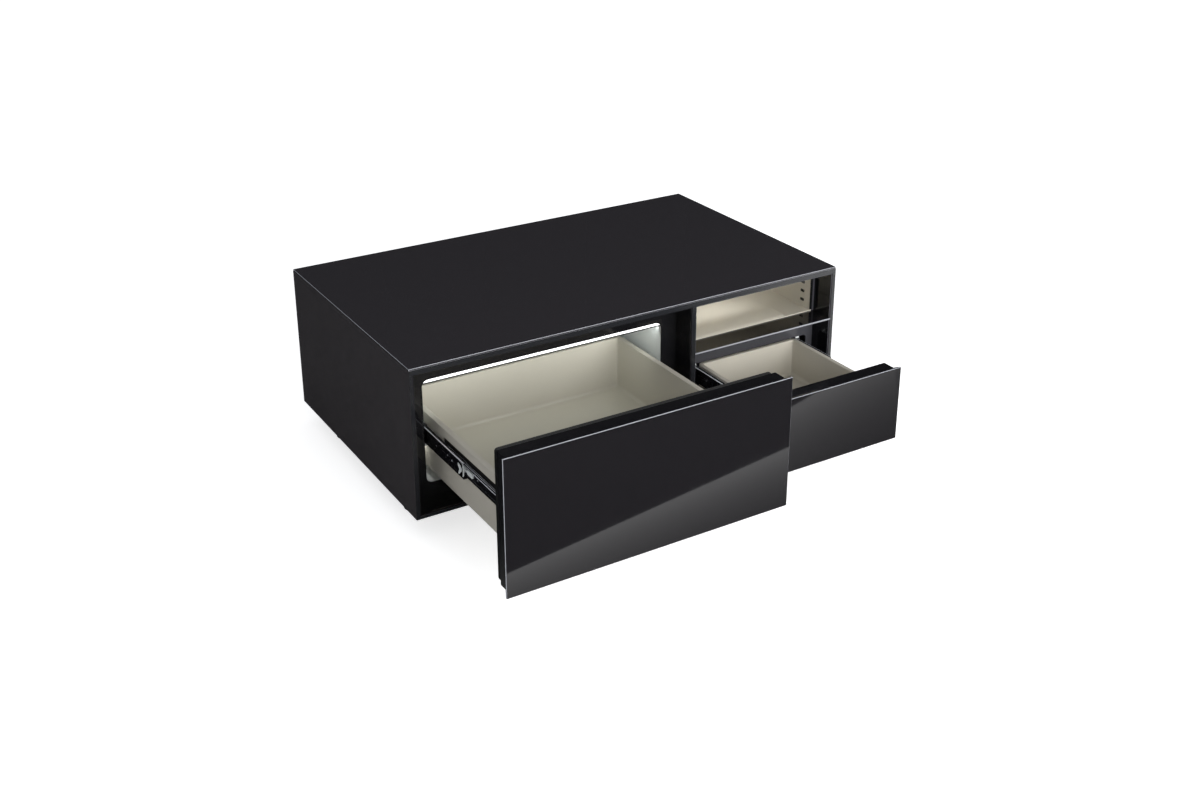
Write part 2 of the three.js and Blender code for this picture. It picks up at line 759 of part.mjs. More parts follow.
// The frame stands on the bottom panel on two legs, and holds the motor by four spokes.
function fanFrame() {
  const [x, y, z] = fan_centre;
  const xs = [x - fan_thickness / 2, x + fan_thickness / 2];
  const half = fan_size / 2;
  const shell = box(xs, [y - half, y + half], [z - half, z + half]);
  const bore = rodAlongX(grown(xs, cut_overrun), y, z, half - fan_wall_thickness, 32);
  const spoke_xs = [xs[1] - fan_spoke_thickness, xs[1]];
  const reach = half - fan_wall_thickness;
  const spokes = [
    box(spoke_xs, [y - reach, y + reach], [z - fan_spoke_width / 2, z + fan_spoke_width / 2]),
    box(spoke_xs, [y - fan_spoke_width / 2, y + fan_spoke_width / 2], [z - reach, z + reach])
  ];
  const motor = rodAlongX(spoke_xs, y, z, fan_hub_radius, 20);
  const legs = [-1, 1].map(side => {
    const middle = y + side * (half - fan_spoke_width);
    return box(xs, [middle - fan_spoke_width, middle + fan_spoke_width],
      [bay_bottom, z - half + fan_wall_thickness]);
  });
  const shaft = rodAlongX([xs[0] + fan_wall_thickness, xs[1]], y, z, fan_shaft_radius, 12);
  return piece('fan_frame', joined([cut(shell, [bore]), ...spokes, motor, shaft, ...legs]), rubber_black);
}

function fanRotor() {
  const [x, y, z] = fan_centre;
  const xs = [
    x - fan_thickness / 2 + fan_wall_thickness,
    x + fan_thickness / 2 - fan_spoke_thickness - fan_play
  ];
  const hub = rodAlongX(xs, y, z, fan_hub_radius, 20);
  const reach = fan_size / 2 - fan_wall_thickness - fan_tip_play;
  const blades = Array.from({ length: fan_blade_count }, (_, index) => {
    const width = (xs[1] - xs[0]) * fan_blade_width_share;
    const geometry = new THREE.BoxGeometry(fan_blade_thickness, width, reach - fan_blade_root_radius);
    geometry.rotateZ(THREE.MathUtils.degToRad(90 - fan_blade_pitch));
    geometry.translate(0, 0, (reach + fan_blade_root_radius) / 2);
    geometry.rotateX((index / fan_blade_count) * Math.PI * 2);
    return toSolid(geometry.translate((xs[0] + xs[1]) / 2, y, z));
  });
  const rotor = joined([hub, ...blades]);
  const sweep = rodAlongX(xs, y, z, reach, 48);
  const bore = rodAlongX(grown(xs, cut_overrun), y, z, fan_shaft_radius + seat_gap, 12);
  return piece('fan_rotor', cut(rotor.intersect(sweep), [bore]), rubber_black);
}

// The suction pipe leaves the evaporator plate through foam and divider, and ends on the compressor.
function pipePlaces() {
  const y = evaporator.ys[1] + pipe_radius - seat_gap;
  const z = evaporator.zs[1] - evaporator_margin;
  return [[evaporator.xs[1] - pipe_run_in_foam, y, z], [divider_left, y, z]];
}

function evaporatorWithPipe() {
  const plate = box(evaporator.xs, evaporator.ys, evaporator.zs);
  const [start, through] = pipePlaces();
  const run = rodAlongX([start[0], divider_right + pipe_radius], through[1], through[2], pipe_radius, 8);
  const [x, y] = compressor_place;
  const end = crownHeight(pipe_offset - pipe_radius) + seat_gap;
  const high = end + pipe_rise;
  const bend = pipe([[divider_right, through[1], through[2]],
    [divider_right + pipe_rise, through[1], through[2]],
    [x - pipe_offset - pipe_radius, y + pipe_rise, high],
    [x - pipe_offset, y, high - pipe_radius], [x - pipe_offset, y, end]], pipe_radius, 20);
  return piece('evaporator', joined([plate, run, bend]), copper_red);
}

function controlBox() {
  const left = machine.xs[0] + seat_gap;
  const front = machine_front;
  const top = bay_top - control_box_drop;
  const solid = roundedAlongZ([left, left + control_box_width], [front, front + control_box_depth],
    [top - control_box_height, top], pipe_radius, 2);
  return piece('control_box', solid, rubber_black);
}

function powerInlet() {
  const [x, z] = inletPlace();
  const half = inlet_width / 2;
  const tall = inlet_height / 2;
  const face = back_panel_outside + seat_gap;
  const body = box([x - half, x + half], [face - inlet_depth, face + seat_gap], [z - tall, z + tall]);
  const flange = box([x - half - inlet_flange_width, x + half + inlet_flange_width], [face, table_depth],
    [z - tall - inlet_flange_width, z + tall + inlet_flange_width]);
  const socket = box(grown([x - half, x + half], -inlet_wall_thickness),
    [face - inlet_socket_depth, table_depth + cut_overrun],
    grown([z - tall, z + tall], -inlet_wall_thickness));
  const pins = [-1, 0, 1].map(side => {
    const middle = x + side * inlet_pin_pitch;
    return box([middle - inlet_pin_width / 2, middle + inlet_pin_width / 2],
      [face - inlet_depth + cut_overrun, face - inlet_wall_thickness],
      [z - inlet_pin_height / 2, z + inlet_pin_height / 2]);
  });
  return piece('power_inlet', joined([cut(joined([body, flange]), [socket]), ...pins]), rubber_black);
}

function levellingFoot(name, [x, y]) {
  const shoulder = foot_height - foot_shoulder_gap;
  const points = [[0, 0], [foot_radius - foot_taper_height, 0], [foot_radius, foot_taper_height],
    [foot_radius, foot_pad_height], [foot_neck_radius, foot_pad_height + foot_taper_height],
    [foot_neck_radius, shoulder], [foot_stem_radius, shoulder],
    [foot_stem_radius, foot_height + foot_stem_engagement], [0, foot_height + foot_stem_engagement]];
  return piece(name, turnedAt(x, y, -foot_height, points), rubber_black);
}

// Slides: members nest from the wall at the left; a right slide is the mirror of a left one.
function channelOutline([a0, a1], height, web, centre) {
  const half = height / 2;
  const inner = half - slide_sheet_thickness;
  const lip_near = web === 'low' ? a1 : a0;
  const back = web === 'low' ? a0 : a1;
  const face = web === 'low' ? a0 + slide_sheet_thickness : a1 - slide_sheet_thickness;
  const points = [[back, -half], [lip_near, -half], [lip_near, -inner], [face, -inner],
    [face, inner], [lip_near, inner], [lip_near, half], [back, half]];
  return points.map(([a, b]) => [a, centre + b]);
}

function middleOutline(centre) {
  const half = middle_member_height / 2;
  const inner = half - slide_sheet_thickness;
  const web_end = middle_web_start + slide_sheet_thickness;
  const points = [[middle_member_start, -half], [middle_member_end, -half], [middle_member_end, -inner],
    [web_end, -inner], [web_end, inner], [middle_member_end, inner], [middle_member_end, half],
    [middle_member_start, half], [middle_member_start, inner], [middle_web_start, inner],
    [middle_web_start, -inner], [middle_member_start, -inner]];
  return points.map(([a, b]) => [a, centre + b]);
}

// side is 1 for a slide on the left of its drawer and -1 for one on the right.
function slideMember(outline, wall, side, ys) {
  const points = outline.map(([a, b]) => new THREE.Vector2(wall + side * a, b));
  if (side < 0) points.reverse();
  return alongY(new THREE.Shape(points), ys);
}

function outerMember(name, slide) {
  const outline = channelOutline([0, outer_member_lip_width], outer_member_height, 'low', slide.height);
  const ys = [slide_front, slide_front + slide.length];
  return piece(name, slideMember(outline, slide.wall, slide.side, ys), slide_black);
}

// The middle member's web is notched at its front end, round the release lever.
function middleMember(name, slide) {
  const ys = [slide_front, slide_front + slide.length];
  const member = slideMember(middleOutline(slide.height), slide.wall, slide.side, ys);
  const clear = middle_member_height / 2 - slide_sheet_thickness;
  const notch = box(sideRange(slide, middle_member_start, middle_member_end),
    [ys[0] - cut_overrun, ys[0] + middle_notch_length], [slide.height - clear, slide.height + clear]);
  return piece(name, cut(member, [notch]), slide_black);
}

function innerMember(name, slide) {
  const range = [slide_stack_width - inner_member_lip_width, slide_stack_width];
  const outline = channelOutline(range, inner_member_height, 'high', slide.height);
  const ys = [bin_front, slide_front + slide.length];
  return piece(name, slideMember(outline, slide.wall, slide.side, ys), slide_black);
}

function sideRange(slide, from, to) {
  const ends = [slide.wall + slide.side * from, slide.wall + slide.side * to];
  return [Math.min(...ends), Math.max(...ends)];
}

// A ball cage is a channel whose lips hold a row of balls above and below the smaller member.
// It rolls at half the speed between its two members, so it stays in the middle of their overlap.
function cageOutline([a0, a1], [small, large], sheet_side, centre) {
  const points = [[a0, -large], [a1, -large], [a1, -small], [a0 + cage_sheet_thickness, -small],
    [a0 + cage_sheet_thickness, small], [a1, small], [a1, large], [a0, large]];
  const mirrored = points.map(([a, b]) => [a0 + a1 - a, b]).reverse();
  return (sheet_side === 'low' ? points : mirrored).map(([a, b]) => [a, centre + b]);
}

function cageRange(slide) {
  const middle = slide_front + slide.length / 2;
  return [middle - cage_length / 2, middle + cage_length / 2];
}

function outerCage(name, slide) {
  const start = slide_sheet_thickness + cage_play;
  const rows = [
    middle_member_height / 2 + cage_play,
    outer_member_height / 2 - slide_sheet_thickness - cage_play
  ];
  const outline = cageOutline([start, start + cage_row_width], rows, 'low', slide.height);
  return piece(name, slideMember(outline, slide.wall, slide.side, cageRange(slide)), zinc_grey);
}

function innerCage(name, slide) {
  const start = middle_web_start + slide_sheet_thickness + cage_play;
  const rows = [
    inner_member_height / 2 + cage_play,
    middle_member_height / 2 - slide_sheet_thickness - cage_play
  ];
  const outline = cageOutline([start, start + cage_row_width], rows, 'low', slide.height);
  return piece(name, slideMember(outline, slide.wall, slide.side, cageRange(slide)), zinc_grey);
}

// The lever lies in the inner member's channel, in the middle member's notch when the drawer is open.
function releaseLever(name, slide) {
  const front = slide_front + slide.travel * (1 - travel_shares.middles) - lever_lead;
  const start = slide_stack_width - slide_sheet_thickness - lever_play - lever_thickness;
  const xs = sideRange(slide, start, start + lever_thickness);
  const stem = box(xs, [front, front + lever_length],
    grown([slide.height, slide.height], lever_stem_height / 2));
  const head = box(xs, [front + lever_length - lever_head_length, front + lever_length],
    grown([slide.height, slide.height], lever_height / 2));
  return piece(name, joined([stem, head]), lever_grey);
}

const fridge_slides = [
  { name: 'left', side: 1, wall: liner_inside.xs[0] + seat_gap },
  { name: 'right', side: -1, wall: liner_inside.xs[1] - seat_gap }
].map(slide => ({
  ...slide, length: fridge_slide_length, travel: fridge_travel, height: fridge_slide_height
}));

const fridge_bin_xs = [
  fridge_slides[0].wall + slide_stack_width + seat_gap,
  fridge_slides[1].wall - slide_stack_width - seat_gap
];

const storage_bin_xs = [divider_right + storage_bin_side_inset, inside_right - storage_bin_side_inset];
const storage_slides = [
  { name: 'left', side: 1, wall: storage_bin_xs[0] - seat_gap - slide_stack_width },
  { name: 'right', side: -1, wall: storage_bin_xs[1] + seat_gap + slide_stack_width }
].map(slide => ({
  ...slide, length: storage_slide_length, travel: storage_travel, height: storage_slide_height
}));

// A channel of sheet carries each storage slide out from the wall of its bay.
function storageBracket(name, slide) {
  const half = outer_member_height / 2 + slide_sheet_thickness;
  const ys = [frame_back + seat_gap, bulkhead_distance - seat_gap];
  const wall = slide.side > 0 ? storage_bay.left : storage_bay.right;
  const face = slide.wall - slide.side * seat_gap;
  const xs = [Math.min(wall, face), Math.max(wall, face)];
  const hollow_xs = slide.side > 0 ? [xs[0] - cut_overrun, xs[1] - bracket_sheet_thickness]
    : [xs[0] + bracket_sheet_thickness, xs[1] + cut_overrun];
  const zs = [slide.height - half, slide.height + half];
  const hollow = box(hollow_xs, grown(ys, cut_overrun), grown(zs, -bracket_sheet_thickness));
  return piece(name, cut(box(xs, ys, zs), [hollow]), slide_black);
}

// Drawers
const fridge_door = {
  xs: [inside_left + door_side_gap, divider_left - door_side_gap],
  zs: [door_bottom, panel_underside - finger_gap]
};

const storage_door = {
  xs: [divider_right + door_side_gap, inside_right - door_side_gap],
  zs: [door_bottom, shelf_underside - finger_gap]
};

function doorGlass(name, door) {
  const geometry = bevelledPane(door.xs, door.zs, door_glass_thickness);
  geometry.rotateX(Math.PI / 2).translate(0, door_glass_thickness - glass_bevel_width, 0);
  return piece(name, toSolid(geometry), glass_black);
}

// A box whose front face is larger than its back face
function flaredBox(front, back, [y0, y1]) {
  const geometry = new THREE.BoxGeometry();
  const position = geometry.attributes.position;
  for (let index = 0; index < position.count; index += 1) {
    const at_front = position.getY(index) < 0;
    const face = at_front ? front : back;
    const x = face.xs[position.getX(index) < 0 ? 0 : 1];
    const z = face.zs[position.getZ(index) < 0 ? 0 : 1];
    position.setXYZ(index, x, at_front ? y0 : y1, z);
  }
  return toSolid(geometry);
}

// The core stands back from the glass all round, and flares out to the glass's edge at its front.
function coreFace(door) {
  return { xs: grown(door.xs, -core_side_inset), zs: grown(door.zs, -core_end_inset) };
}

function doorCore(name, door) {
  const face = coreFace(door);
  const wide = { xs: grown(door.xs, -core_flare_inset), zs: grown(door.zs, -core_flare_inset) };
  const flare = flaredBox(wide, face, [core_front, core_front + core_flare_depth]);
  const block = box(face.xs, [core_front + core_flare_depth / 2, core_back], face.zs);
  return piece(name, joined([flare, block]), gloss_black);
}

function fridgeGasket() {
  const face = coreFace(fridge_door);
  const outer = { xs: grown(face.xs, -gasket_inset), zs: grown(face.zs, -gasket_inset) };
  const ys = [core_back + seat_gap, recess_depth - gasket_gap];
  const ring = roundedAlongY(outer.xs, ys, outer.zs, gasket_corner_radius, 3);
  const hole = roundedAlongY(grown(outer.xs, -gasket_width), grown(ys, cut_overrun),
    grown(outer.zs, -gasket_width), gasket_inner_corner, 3);
  return piece('fridge_gasket', cut(ring, [hole]), rubber_black);
}

function bin({ xs, bottom, top, length, wall, floor, corner }) {
  const ys = [bin_front, bin_front + length];
  const shell = roundedAlongZ(xs, ys, [bottom, top], corner, 5);
  const hollow = roundedAlongZ(grown(xs, -wall), grown(ys, -wall), [bottom + floor, top + cut_overrun],
    corner - wall, 4);
  return cut(shell, [hollow]);
}

function fridgeBin() {
  const solid = bin({
    xs: fridge_bin_xs,
    bottom: fridge_bin_base_height,
    top: fridge_bin_rim_height,
    length: fridge_bin_length,
    wall: fridge_bin_wall_thickness,
    floor: fridge_bin_floor_thickness,
    corner: fridge_bin_corner_radius
  });
  const low = fridge_slide_height + groove_rise;
  const groove_ys = [bin_front + fridge_bin_corner_radius, groove_back_depth];
  const grooves = [
    [fridge_bin_xs[0] - cut_overrun, fridge_bin_xs[0] + groove_depth],
    [fridge_bin_xs[1] - groove_depth, fridge_bin_xs[1] + cut_overrun]
  ].map(range => acrossX(range, grooveOutline(groove_ys, low)));
  return piece('fridge_bin', cut(solid, grooves), bin_cream);
}

// A long slot outline in Y and Z with round ends
function grooveOutline([y0, y1], low) {
  return roundedOutline([y0, y1], [low, low + groove_height], groove_height / 2 - seat_gap, 4);
}

function storageBin() {
  const solid = bin({
    xs: storage_bin_xs,
    bottom: storage_bin_base_height,
    top: storage_bin_rim_height,
    length: storage_bin_length,
    wall: storage_bin_wall_thickness,
    floor: storage_bin_floor_thickness,
    corner: storage_bin_corner_radius
  });
  return piece('storage_bin', solid, bin_cream);
}

function addSlides(prefix, slides, groups) {
  for (const slide of slides) {
    groups.cabinet.add(outerMember(`${prefix}_slide_outer_${slide.name}`, slide));
    groups.outer_cages.add(outerCage(`${prefix}_outer_cage_${slide.name}`, slide));
    groups.middles.add(middleMember(`${prefix}_slide_middle_${slide.name}`, slide));
    groups.inner_cages.add(innerCage(`${prefix}_inner_cage_${slide.name}`, slide));
    groups.drawer.add(innerMember(`${prefix}_slide_inner_${slide.name}`, slide));
  }
}

// A drawer's groups stand open by their share of its travel.
function drawerGroups(travel) {
  return Object.fromEntries(Object.entries(travel_shares).map(([name, share]) => {
    const group = new THREE.Group();
    group.position.y = -travel * share;
    return [name, group];
  }));
}

// Assembly
const cabinet = new THREE.Group();
cabinet.add(topGlass(), topPanel());
cabinet.add(sidePanel('side_panel_left', 0));
cabinet.add(sidePanel('side_panel_right', inside_right));
cabinet.add(bottomPanel(), centreDivider(), backPanel());
cabinet.add(fridgeSurround(), storageSurround(), nicheSurround(), nicheShelf());
cabinet.add(nicheLiner(), chargingPad(), socketModule());
cabinet.add(fridgeLiner(), lightBar(), evaporatorWithPipe(), insulationFoam());
cabinet.add(machineBulkhead(), compressorShell(), condenserBlock());
cabinet.add(fanFrame(), fanRotor(), controlBox(), powerInlet());
for (const slide of storage_slides) {
  cabinet.add(storageBracket(`storage_slide_bracket_${slide.name}`, slide));
}

const foot_names = ['foot_front_left', 'foot_front_right', 'foot_rear_left', 'foot_rear_right'];
footPlaces().forEach((place, index) => cabinet.add(levellingFoot(foot_names[index], place)));

const fridge = { cabinet, ...drawerGroups(fridge_travel) };
fridge.drawer.add(doorGlass('fridge_door_glass', fridge_door));
fridge.drawer.add(doorCore('fridge_door_core', fridge_door));
fridge.drawer.add(fridgeGasket(), fridgeBin());
addSlides('fridge', fridge_slides, fridge);
for (const slide of fridge_slides) {
  fridge.drawer.add(releaseLever(`fridge_release_lever_${slide.name}`, slide));
}

const storage = { cabinet, ...drawerGroups(storage_travel) };
storage.drawer.add(doorGlass('storage_door_glass', storage_door));
storage.drawer.add(doorCore('storage_door_core', storage_door));
storage.drawer.add(storageBin());
addSlides('storage', storage_slides, storage);

// The origin is on the floor, under the middle of the table with its drawers open.
const table = new THREE.Group();
table.position.set(-table_width / 2, -(table_depth - fridge_travel) / 2, foot_height);
table.add(...new Set([...Object.values(fridge), ...Object.values(storage)]));

export default table;
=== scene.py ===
"""Looks of a refrigerator coffee table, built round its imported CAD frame.

Lengths are metres in the CAD frame: X runs along the table, Y from front to back, Z up.
"""

import json
import logging
import math
from dataclasses import dataclass
from enum import Enum
from typing import Any, Iterable, Sequence

import bmesh
import bpy
import numpy as np
from mathutils import Matrix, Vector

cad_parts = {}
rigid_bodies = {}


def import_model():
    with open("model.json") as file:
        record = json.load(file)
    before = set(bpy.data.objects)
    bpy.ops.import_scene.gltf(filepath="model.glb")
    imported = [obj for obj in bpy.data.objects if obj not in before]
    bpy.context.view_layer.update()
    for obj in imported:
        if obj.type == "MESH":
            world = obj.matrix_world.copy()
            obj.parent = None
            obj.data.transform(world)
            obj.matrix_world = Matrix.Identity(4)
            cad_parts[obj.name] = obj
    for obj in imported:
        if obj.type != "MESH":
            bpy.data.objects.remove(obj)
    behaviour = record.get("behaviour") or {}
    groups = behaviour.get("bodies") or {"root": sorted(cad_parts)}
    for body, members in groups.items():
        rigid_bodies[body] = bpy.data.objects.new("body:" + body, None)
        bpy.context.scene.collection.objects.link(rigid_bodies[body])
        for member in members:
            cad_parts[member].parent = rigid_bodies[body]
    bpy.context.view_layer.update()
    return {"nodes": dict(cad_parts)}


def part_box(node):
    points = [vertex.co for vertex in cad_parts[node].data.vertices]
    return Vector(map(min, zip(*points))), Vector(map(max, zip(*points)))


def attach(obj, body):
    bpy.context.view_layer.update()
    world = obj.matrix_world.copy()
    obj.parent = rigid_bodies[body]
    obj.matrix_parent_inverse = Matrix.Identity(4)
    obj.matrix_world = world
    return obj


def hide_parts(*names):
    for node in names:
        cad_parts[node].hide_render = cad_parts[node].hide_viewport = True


LOG = logging.getLogger("coffee_table")
MM = 0.001
LEAST_RADIUS = 0.02 * MM  # keeps a loop from shrinking to a point
SIDE_SHARE = 0.48  # most of a side that the curve at one corner takes
ASLANT = (0.31, 0.57, 0.76)  # a direction that no pipe runs along
MERGE_DISTANCE = 1e-6
Pair = tuple[float, float]
Triple = tuple[float, float, float]

for default_object in list(bpy.data.objects):
    bpy.data.objects.remove(default_object)
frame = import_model()


# ----------------------------------------
# Surfaces
# ----------------------------------------


class Closure(Enum):
    """How a stack of loops ends."""

    CAPPED = "a flat face on the first and the last loop"
    RING = "the last loop joins the first"


class Lie(Enum):
    """Where a shape's own width, height and length point, as an order of its three columns."""

    FRONT = (0, 2, 1)
    SIDE = (2, 0, 1)


@dataclass
class Shell:
    """A closed surface: points in metres and faces grouped by their count of corners.

    Args:
        points: One row for each point.
        faces: Arrays of point numbers, one row for each face.
    """

    points: np.ndarray
    faces: list[np.ndarray]

    def plus(self, *others: "Shell") -> "Shell":
        """Joins shells: points follow each other, face numbers rise by the count of points before.

        Args:
            others: Shells to add.

        Returns:
            One shell of all of them.
        """
        shells = (self, *others)
        starts = np.cumsum([0] + [len(shell.points) for shell in shells[:-1]])
        faces = [face + start for shell, start in zip(shells, starts) for face in shell.faces]
        return Shell(np.concatenate([shell.points for shell in shells]), faces)

    def moved(self, x: float = 0.0, y: float = 0.0, z: float = 0.0) -> "Shell":
        """The shell with an offset added to every point."""
        return Shell(self.points + np.array([x, y, z]), self.faces)

    def lying(self, lie: Lie) -> "Shell":
        """The shell with its columns put in the order that the lie gives."""
        return Shell(self.points[:, list(lie.value)], self.faces)

    def mirrored(self, x: float) -> "Shell":
        """The shell reflected in the plane at x, with each face's order turned round."""
        points = self.points * np.array([-1.0, 1.0, 1.0]) + np.array([2.0 * x, 0.0, 0.0])
        return Shell(points, [face[:, ::-1] for face in self.faces])

    def turned(self, axis: int, degrees: float) -> "Shell":
        """Turns the shell about an axis: the two other columns are mixed by cosine and sine.

        Args:
            axis: Column that stays.
            degrees: Angle, counter-clockwise.

        Returns:
            The turned shell.
        """
        first, second = (axis + 1) % 3, (axis + 2) % 3
        cosine, sine = math.cos(math.radians(degrees)), math.sin(math.radians(degrees))
        points = self.points.copy()
        points[:, first] = cosine * self.points[:, first] - sine * self.points[:, second]
        points[:, second] = sine * self.points[:, first] + cosine * self.points[:, second]
        return Shell(points, self.faces)

    def repeated(self, offsets: Sequence[Triple] | np.ndarray) -> "Shell":
        """Copies the shell to each offset: all points plus all offsets, as one table.

        Args:
            offsets: One row of x, y and z for each copy.

        Returns:
            One shell of all the copies.
        """
        places = np.asarray(offsets, float)
        count = len(self.points)
        points = (places[:, None] + self.points[None]).reshape(-1, 3)
        steps = (np.arange(len(places)) * count)[:, None, None]
        faces = [(steps + face[None]).reshape(-1, face.shape[1]) for face in self.faces]
        return Shell(points, faces)


def loft(loops: np.ndarray, closure: Closure = Closure.CAPPED) -> Shell:
    """Skin over stacked closed loops: point j of loop i joins j + 1 and the same two of loop i + 1.

    Args:
        loops: Array of loops, points and coordinates.
        closure: How the stack ends.

    Returns:
        The closed skin.
    """
    rows, count, _ = loops.shape
    number = np.arange(rows * count).reshape(rows, count)
    above = np.roll(number, -1, axis=0)
    if closure is Closure.CAPPED:
        low, high = number[:-1], above[:-1]
        caps = [number[:1, ::-1], number[-1:]]
    else:
        low, high, caps = number, above, []
    quads = np.stack([low, np.roll(low, -1, axis=1), np.roll(high, -1, axis=1), high], axis=-1)
    return Shell(loops.reshape(-1, 3), [quads.reshape(-1, 4), *caps])


def circle(count: int) -> np.ndarray:
    """Unit circle: cosine and sine of evenly spaced angles, one row for each point."""
    turns = np.linspace(0, 2 * math.pi, count, endpoint=False)
    return np.stack([np.cos(turns), np.sin(turns)], axis=-1)


def raised(plan: np.ndarray, heights: np.ndarray) -> np.ndarray:
    """Loops in plan with a height of their own as third coordinate.

    Args:
        plan: Array of loops, points and two coordinates.
        heights: Height of each loop.

    Returns:
        Array of loops, points and three coordinates.
    """
    third = np.broadcast_to(heights[:, None, None], (*plan.shape[:2], 1))
    return np.concatenate([plan, third], axis=-1)


def rounded_stack(half: Pair, radius: float, profile: Sequence[Pair] | np.ndarray,
                  closure: Closure = Closure.CAPPED, per_corner: int = 8) -> Shell:
    """Stacked rounded rectangles: row (u, v) gives one at height v, sides and corner grown by u.

    Args:
        half: Half of the rectangle's two sides.
        radius: Its corner radius.
        profile: Rows of growth and height.
        closure: How the stack ends.
        per_corner: Steps in a corner.

    Returns:
        The skin, centred on the origin.
    """
    rows = np.asarray(profile, float)
    firsts = np.arange(4)[:, None] * math.pi / 2
    turns = (firsts + np.linspace(0, math.pi / 2, per_corner + 1)[None]).ravel()
    signs = np.array([(1, 1), (-1, 1), (-1, -1), (1, -1)], float)
    sides = np.repeat(signs, per_corner + 1, axis=0)
    bend = np.maximum(radius + rows[:, 0], LEAST_RADIUS)[:, None, None]
    centre = (np.asarray(half)[None] + rows[:, :1])[:, None] - bend
    arcs = np.stack([np.cos(turns), np.sin(turns)], axis=-1)
    return loft(raised(sides[None] * centre + bend * arcs[None], rows[:, 1]), closure)


def lathe(profile: Sequence[Pair] | np.ndarray, sides: int = 32) -> Shell:
    """Solid of revolution about Z: each profile row (radius, height) gives a circle of points.

    Args:
        profile: Rows of radius and height, from end to end.
        sides: Points in a circle.

    Returns:
        The closed solid.
    """
    rows = np.asarray(profile, float)
    plan = np.maximum(rows[:, :1], LEAST_RADIUS)[:, None] * circle(sides)[None]
    return loft(raised(plan, rows[:, 1]))


def softened(points: Sequence[Sequence[float]] | np.ndarray, radius: float | Sequence[float],
             steps: int = 4, closed: bool = True) -> np.ndarray:
    """Outline with round corners, each a quadratic curve from radius before it to radius after it.

    Args:
        points: Corners.
        radius: Reach of the curve along each side, one or one for each corner.
        steps: Points in a corner.
        closed: False keeps the first and last corner as they are.

    Returns:
        Points of the outline.
    """
    corner = np.asarray(points, float)
    reach = np.broadcast_to(np.asarray(radius, float), len(corner))[:, None]
    ways = [np.roll(corner, 1, axis=0) - corner, np.roll(corner, -1, axis=0) - corner]
    lengths = [np.linalg.norm(way, axis=1, keepdims=True) for way in ways]
    start, end = (corner + way / size * np.minimum(reach, size * SIDE_SHARE)
                  for way, size in zip(ways, lengths))
    t = np.linspace(0, 1, steps)[None, :, None]
    curve = ((1 - t) ** 2 * start[:, None] + 2 * t * (1 - t) * corner[:, None]
             + t ** 2 * end[:, None])
    if closed:
        return curve.reshape(-1, corner.shape[1])
    return np.concatenate([corner[:1], curve[1:-1].reshape(-1, corner.shape[1]), corner[-1:]])


def prism(outline: np.ndarray, ends: Pair, edge: float = 0.0) -> Shell:
    """An outline carried along its axis and drawn in at both ends, so that their edges are broken.

    Args:
        outline: Points in two columns.
        ends: Where it starts and ends.
        edge: Size of the broken edge.

    Returns:
        The closed solid.
    """
    along = np.roll(outline, -1, axis=0) - np.roll(outline, 1, axis=0)
    normal = np.stack([along[:, 1], -along[:, 0]], axis=-1)
    normal /= np.linalg.norm(normal, axis=1, keepdims=True)
    shift = np.roll(outline, -1, axis=0) - outline
    area = np.sum(outline[:, 0] * shift[:, 1] - outline[:, 1] * shift[:, 0])
    inner = outline - normal * edge * math.copysign(1.0, area)
    rows = [(outline, ends[0]), (outline, ends[1])] if edge == 0 else [
        (inner, ends[0]), (outline, ends[0] + edge), (outline, ends[1] - edge), (inner, ends[1])]
    loops = [np.column_stack([row, np.full(len(row), height)]) for row, height in rows]
    return loft(np.stack(loops))


def block(xs: Pair, ys: Pair, zs: Pair, edge: float = 0.4 * MM) -> Shell:
    """A plate or bar with broken edges: a rounded rectangle that steps in at top and bottom.

    Args:
        xs: Its range in X.
        ys: Its range in Y.
        zs: Its range in Z.
        edge: Radius of its edges.

    Returns:
        The closed solid.
    """
    half = ((xs[1] - xs[0]) / 2, (ys[1] - ys[0]) / 2)
    drop = edge * (1 - math.sqrt(0.5))
    low, high = zs
    profile = [(-edge, low), (-drop, low + drop), (0, low + edge),
               (0, high - edge), (-drop, high - drop), (-edge, high)]
    middle = (xs[0] + xs[1]) / 2, (ys[0] + ys[1]) / 2
    return rounded_stack(half, edge, profile, per_corner=2).moved(*middle)


def tube(path: np.ndarray, radius: float, sides: int = 12) -> Shell:
    """Round pipe: a circle across the path's direction at each of its points.

    Args:
        path: Points of the centre line.
        radius: Outer radius.
        sides: Points in a circle.

    Returns:
        The closed pipe.
    """
    along = np.gradient(path, axis=0)
    along /= np.linalg.norm(along, axis=1, keepdims=True)
    across = np.cross(along, np.array(ASLANT))
    across /= np.linalg.norm(across, axis=1, keepdims=True)
    third = np.cross(along, across)
    ring = circle(sides)[None]
    loops = ring[..., :1] * across[:, None] + ring[..., 1:] * third[:, None]
    return loft(path[:, None] + radius * loops)


def quarter(centre: Pair, radius: float, start: float, end: float, steps: int = 5) -> list[Pair]:
    """Points of an arc: the centre plus the radius times cosine and sine of evenly spaced angles.

    Args:
        centre: Middle of the circle.
        radius: Its radius.
        start: First angle in degrees.
        end: Last angle in degrees.
        steps: Count of points.

    Returns:
        The points.
    """
    angles = np.radians(np.linspace(start, end, steps))
    return [(centre[0] + radius * math.cos(a), centre[1] + radius * math.sin(a)) for a in angles]


def serpentine(run: Pair, levels: Iterable[float]) -> list[Pair]:
    """Corners of a path to and fro: every second level is run backwards.

    Args:
        run: Start and end of the first level.
        levels: Height of each level.

    Returns:
        Two corners for each level.
    """
    ways = (run, run[::-1])
    return [(end, level) for step, level in enumerate(levels) for end in ways[step % 2]]


# ----------------------------------------
# Finishes
# ----------------------------------------

MIX_FACTOR, MIX_A, MIX_B, MIX_RESULT = 0, 6, 7, 2
# Inputs 0 to 4 of a Map Range node are its value, the range it comes from and the range it goes to.


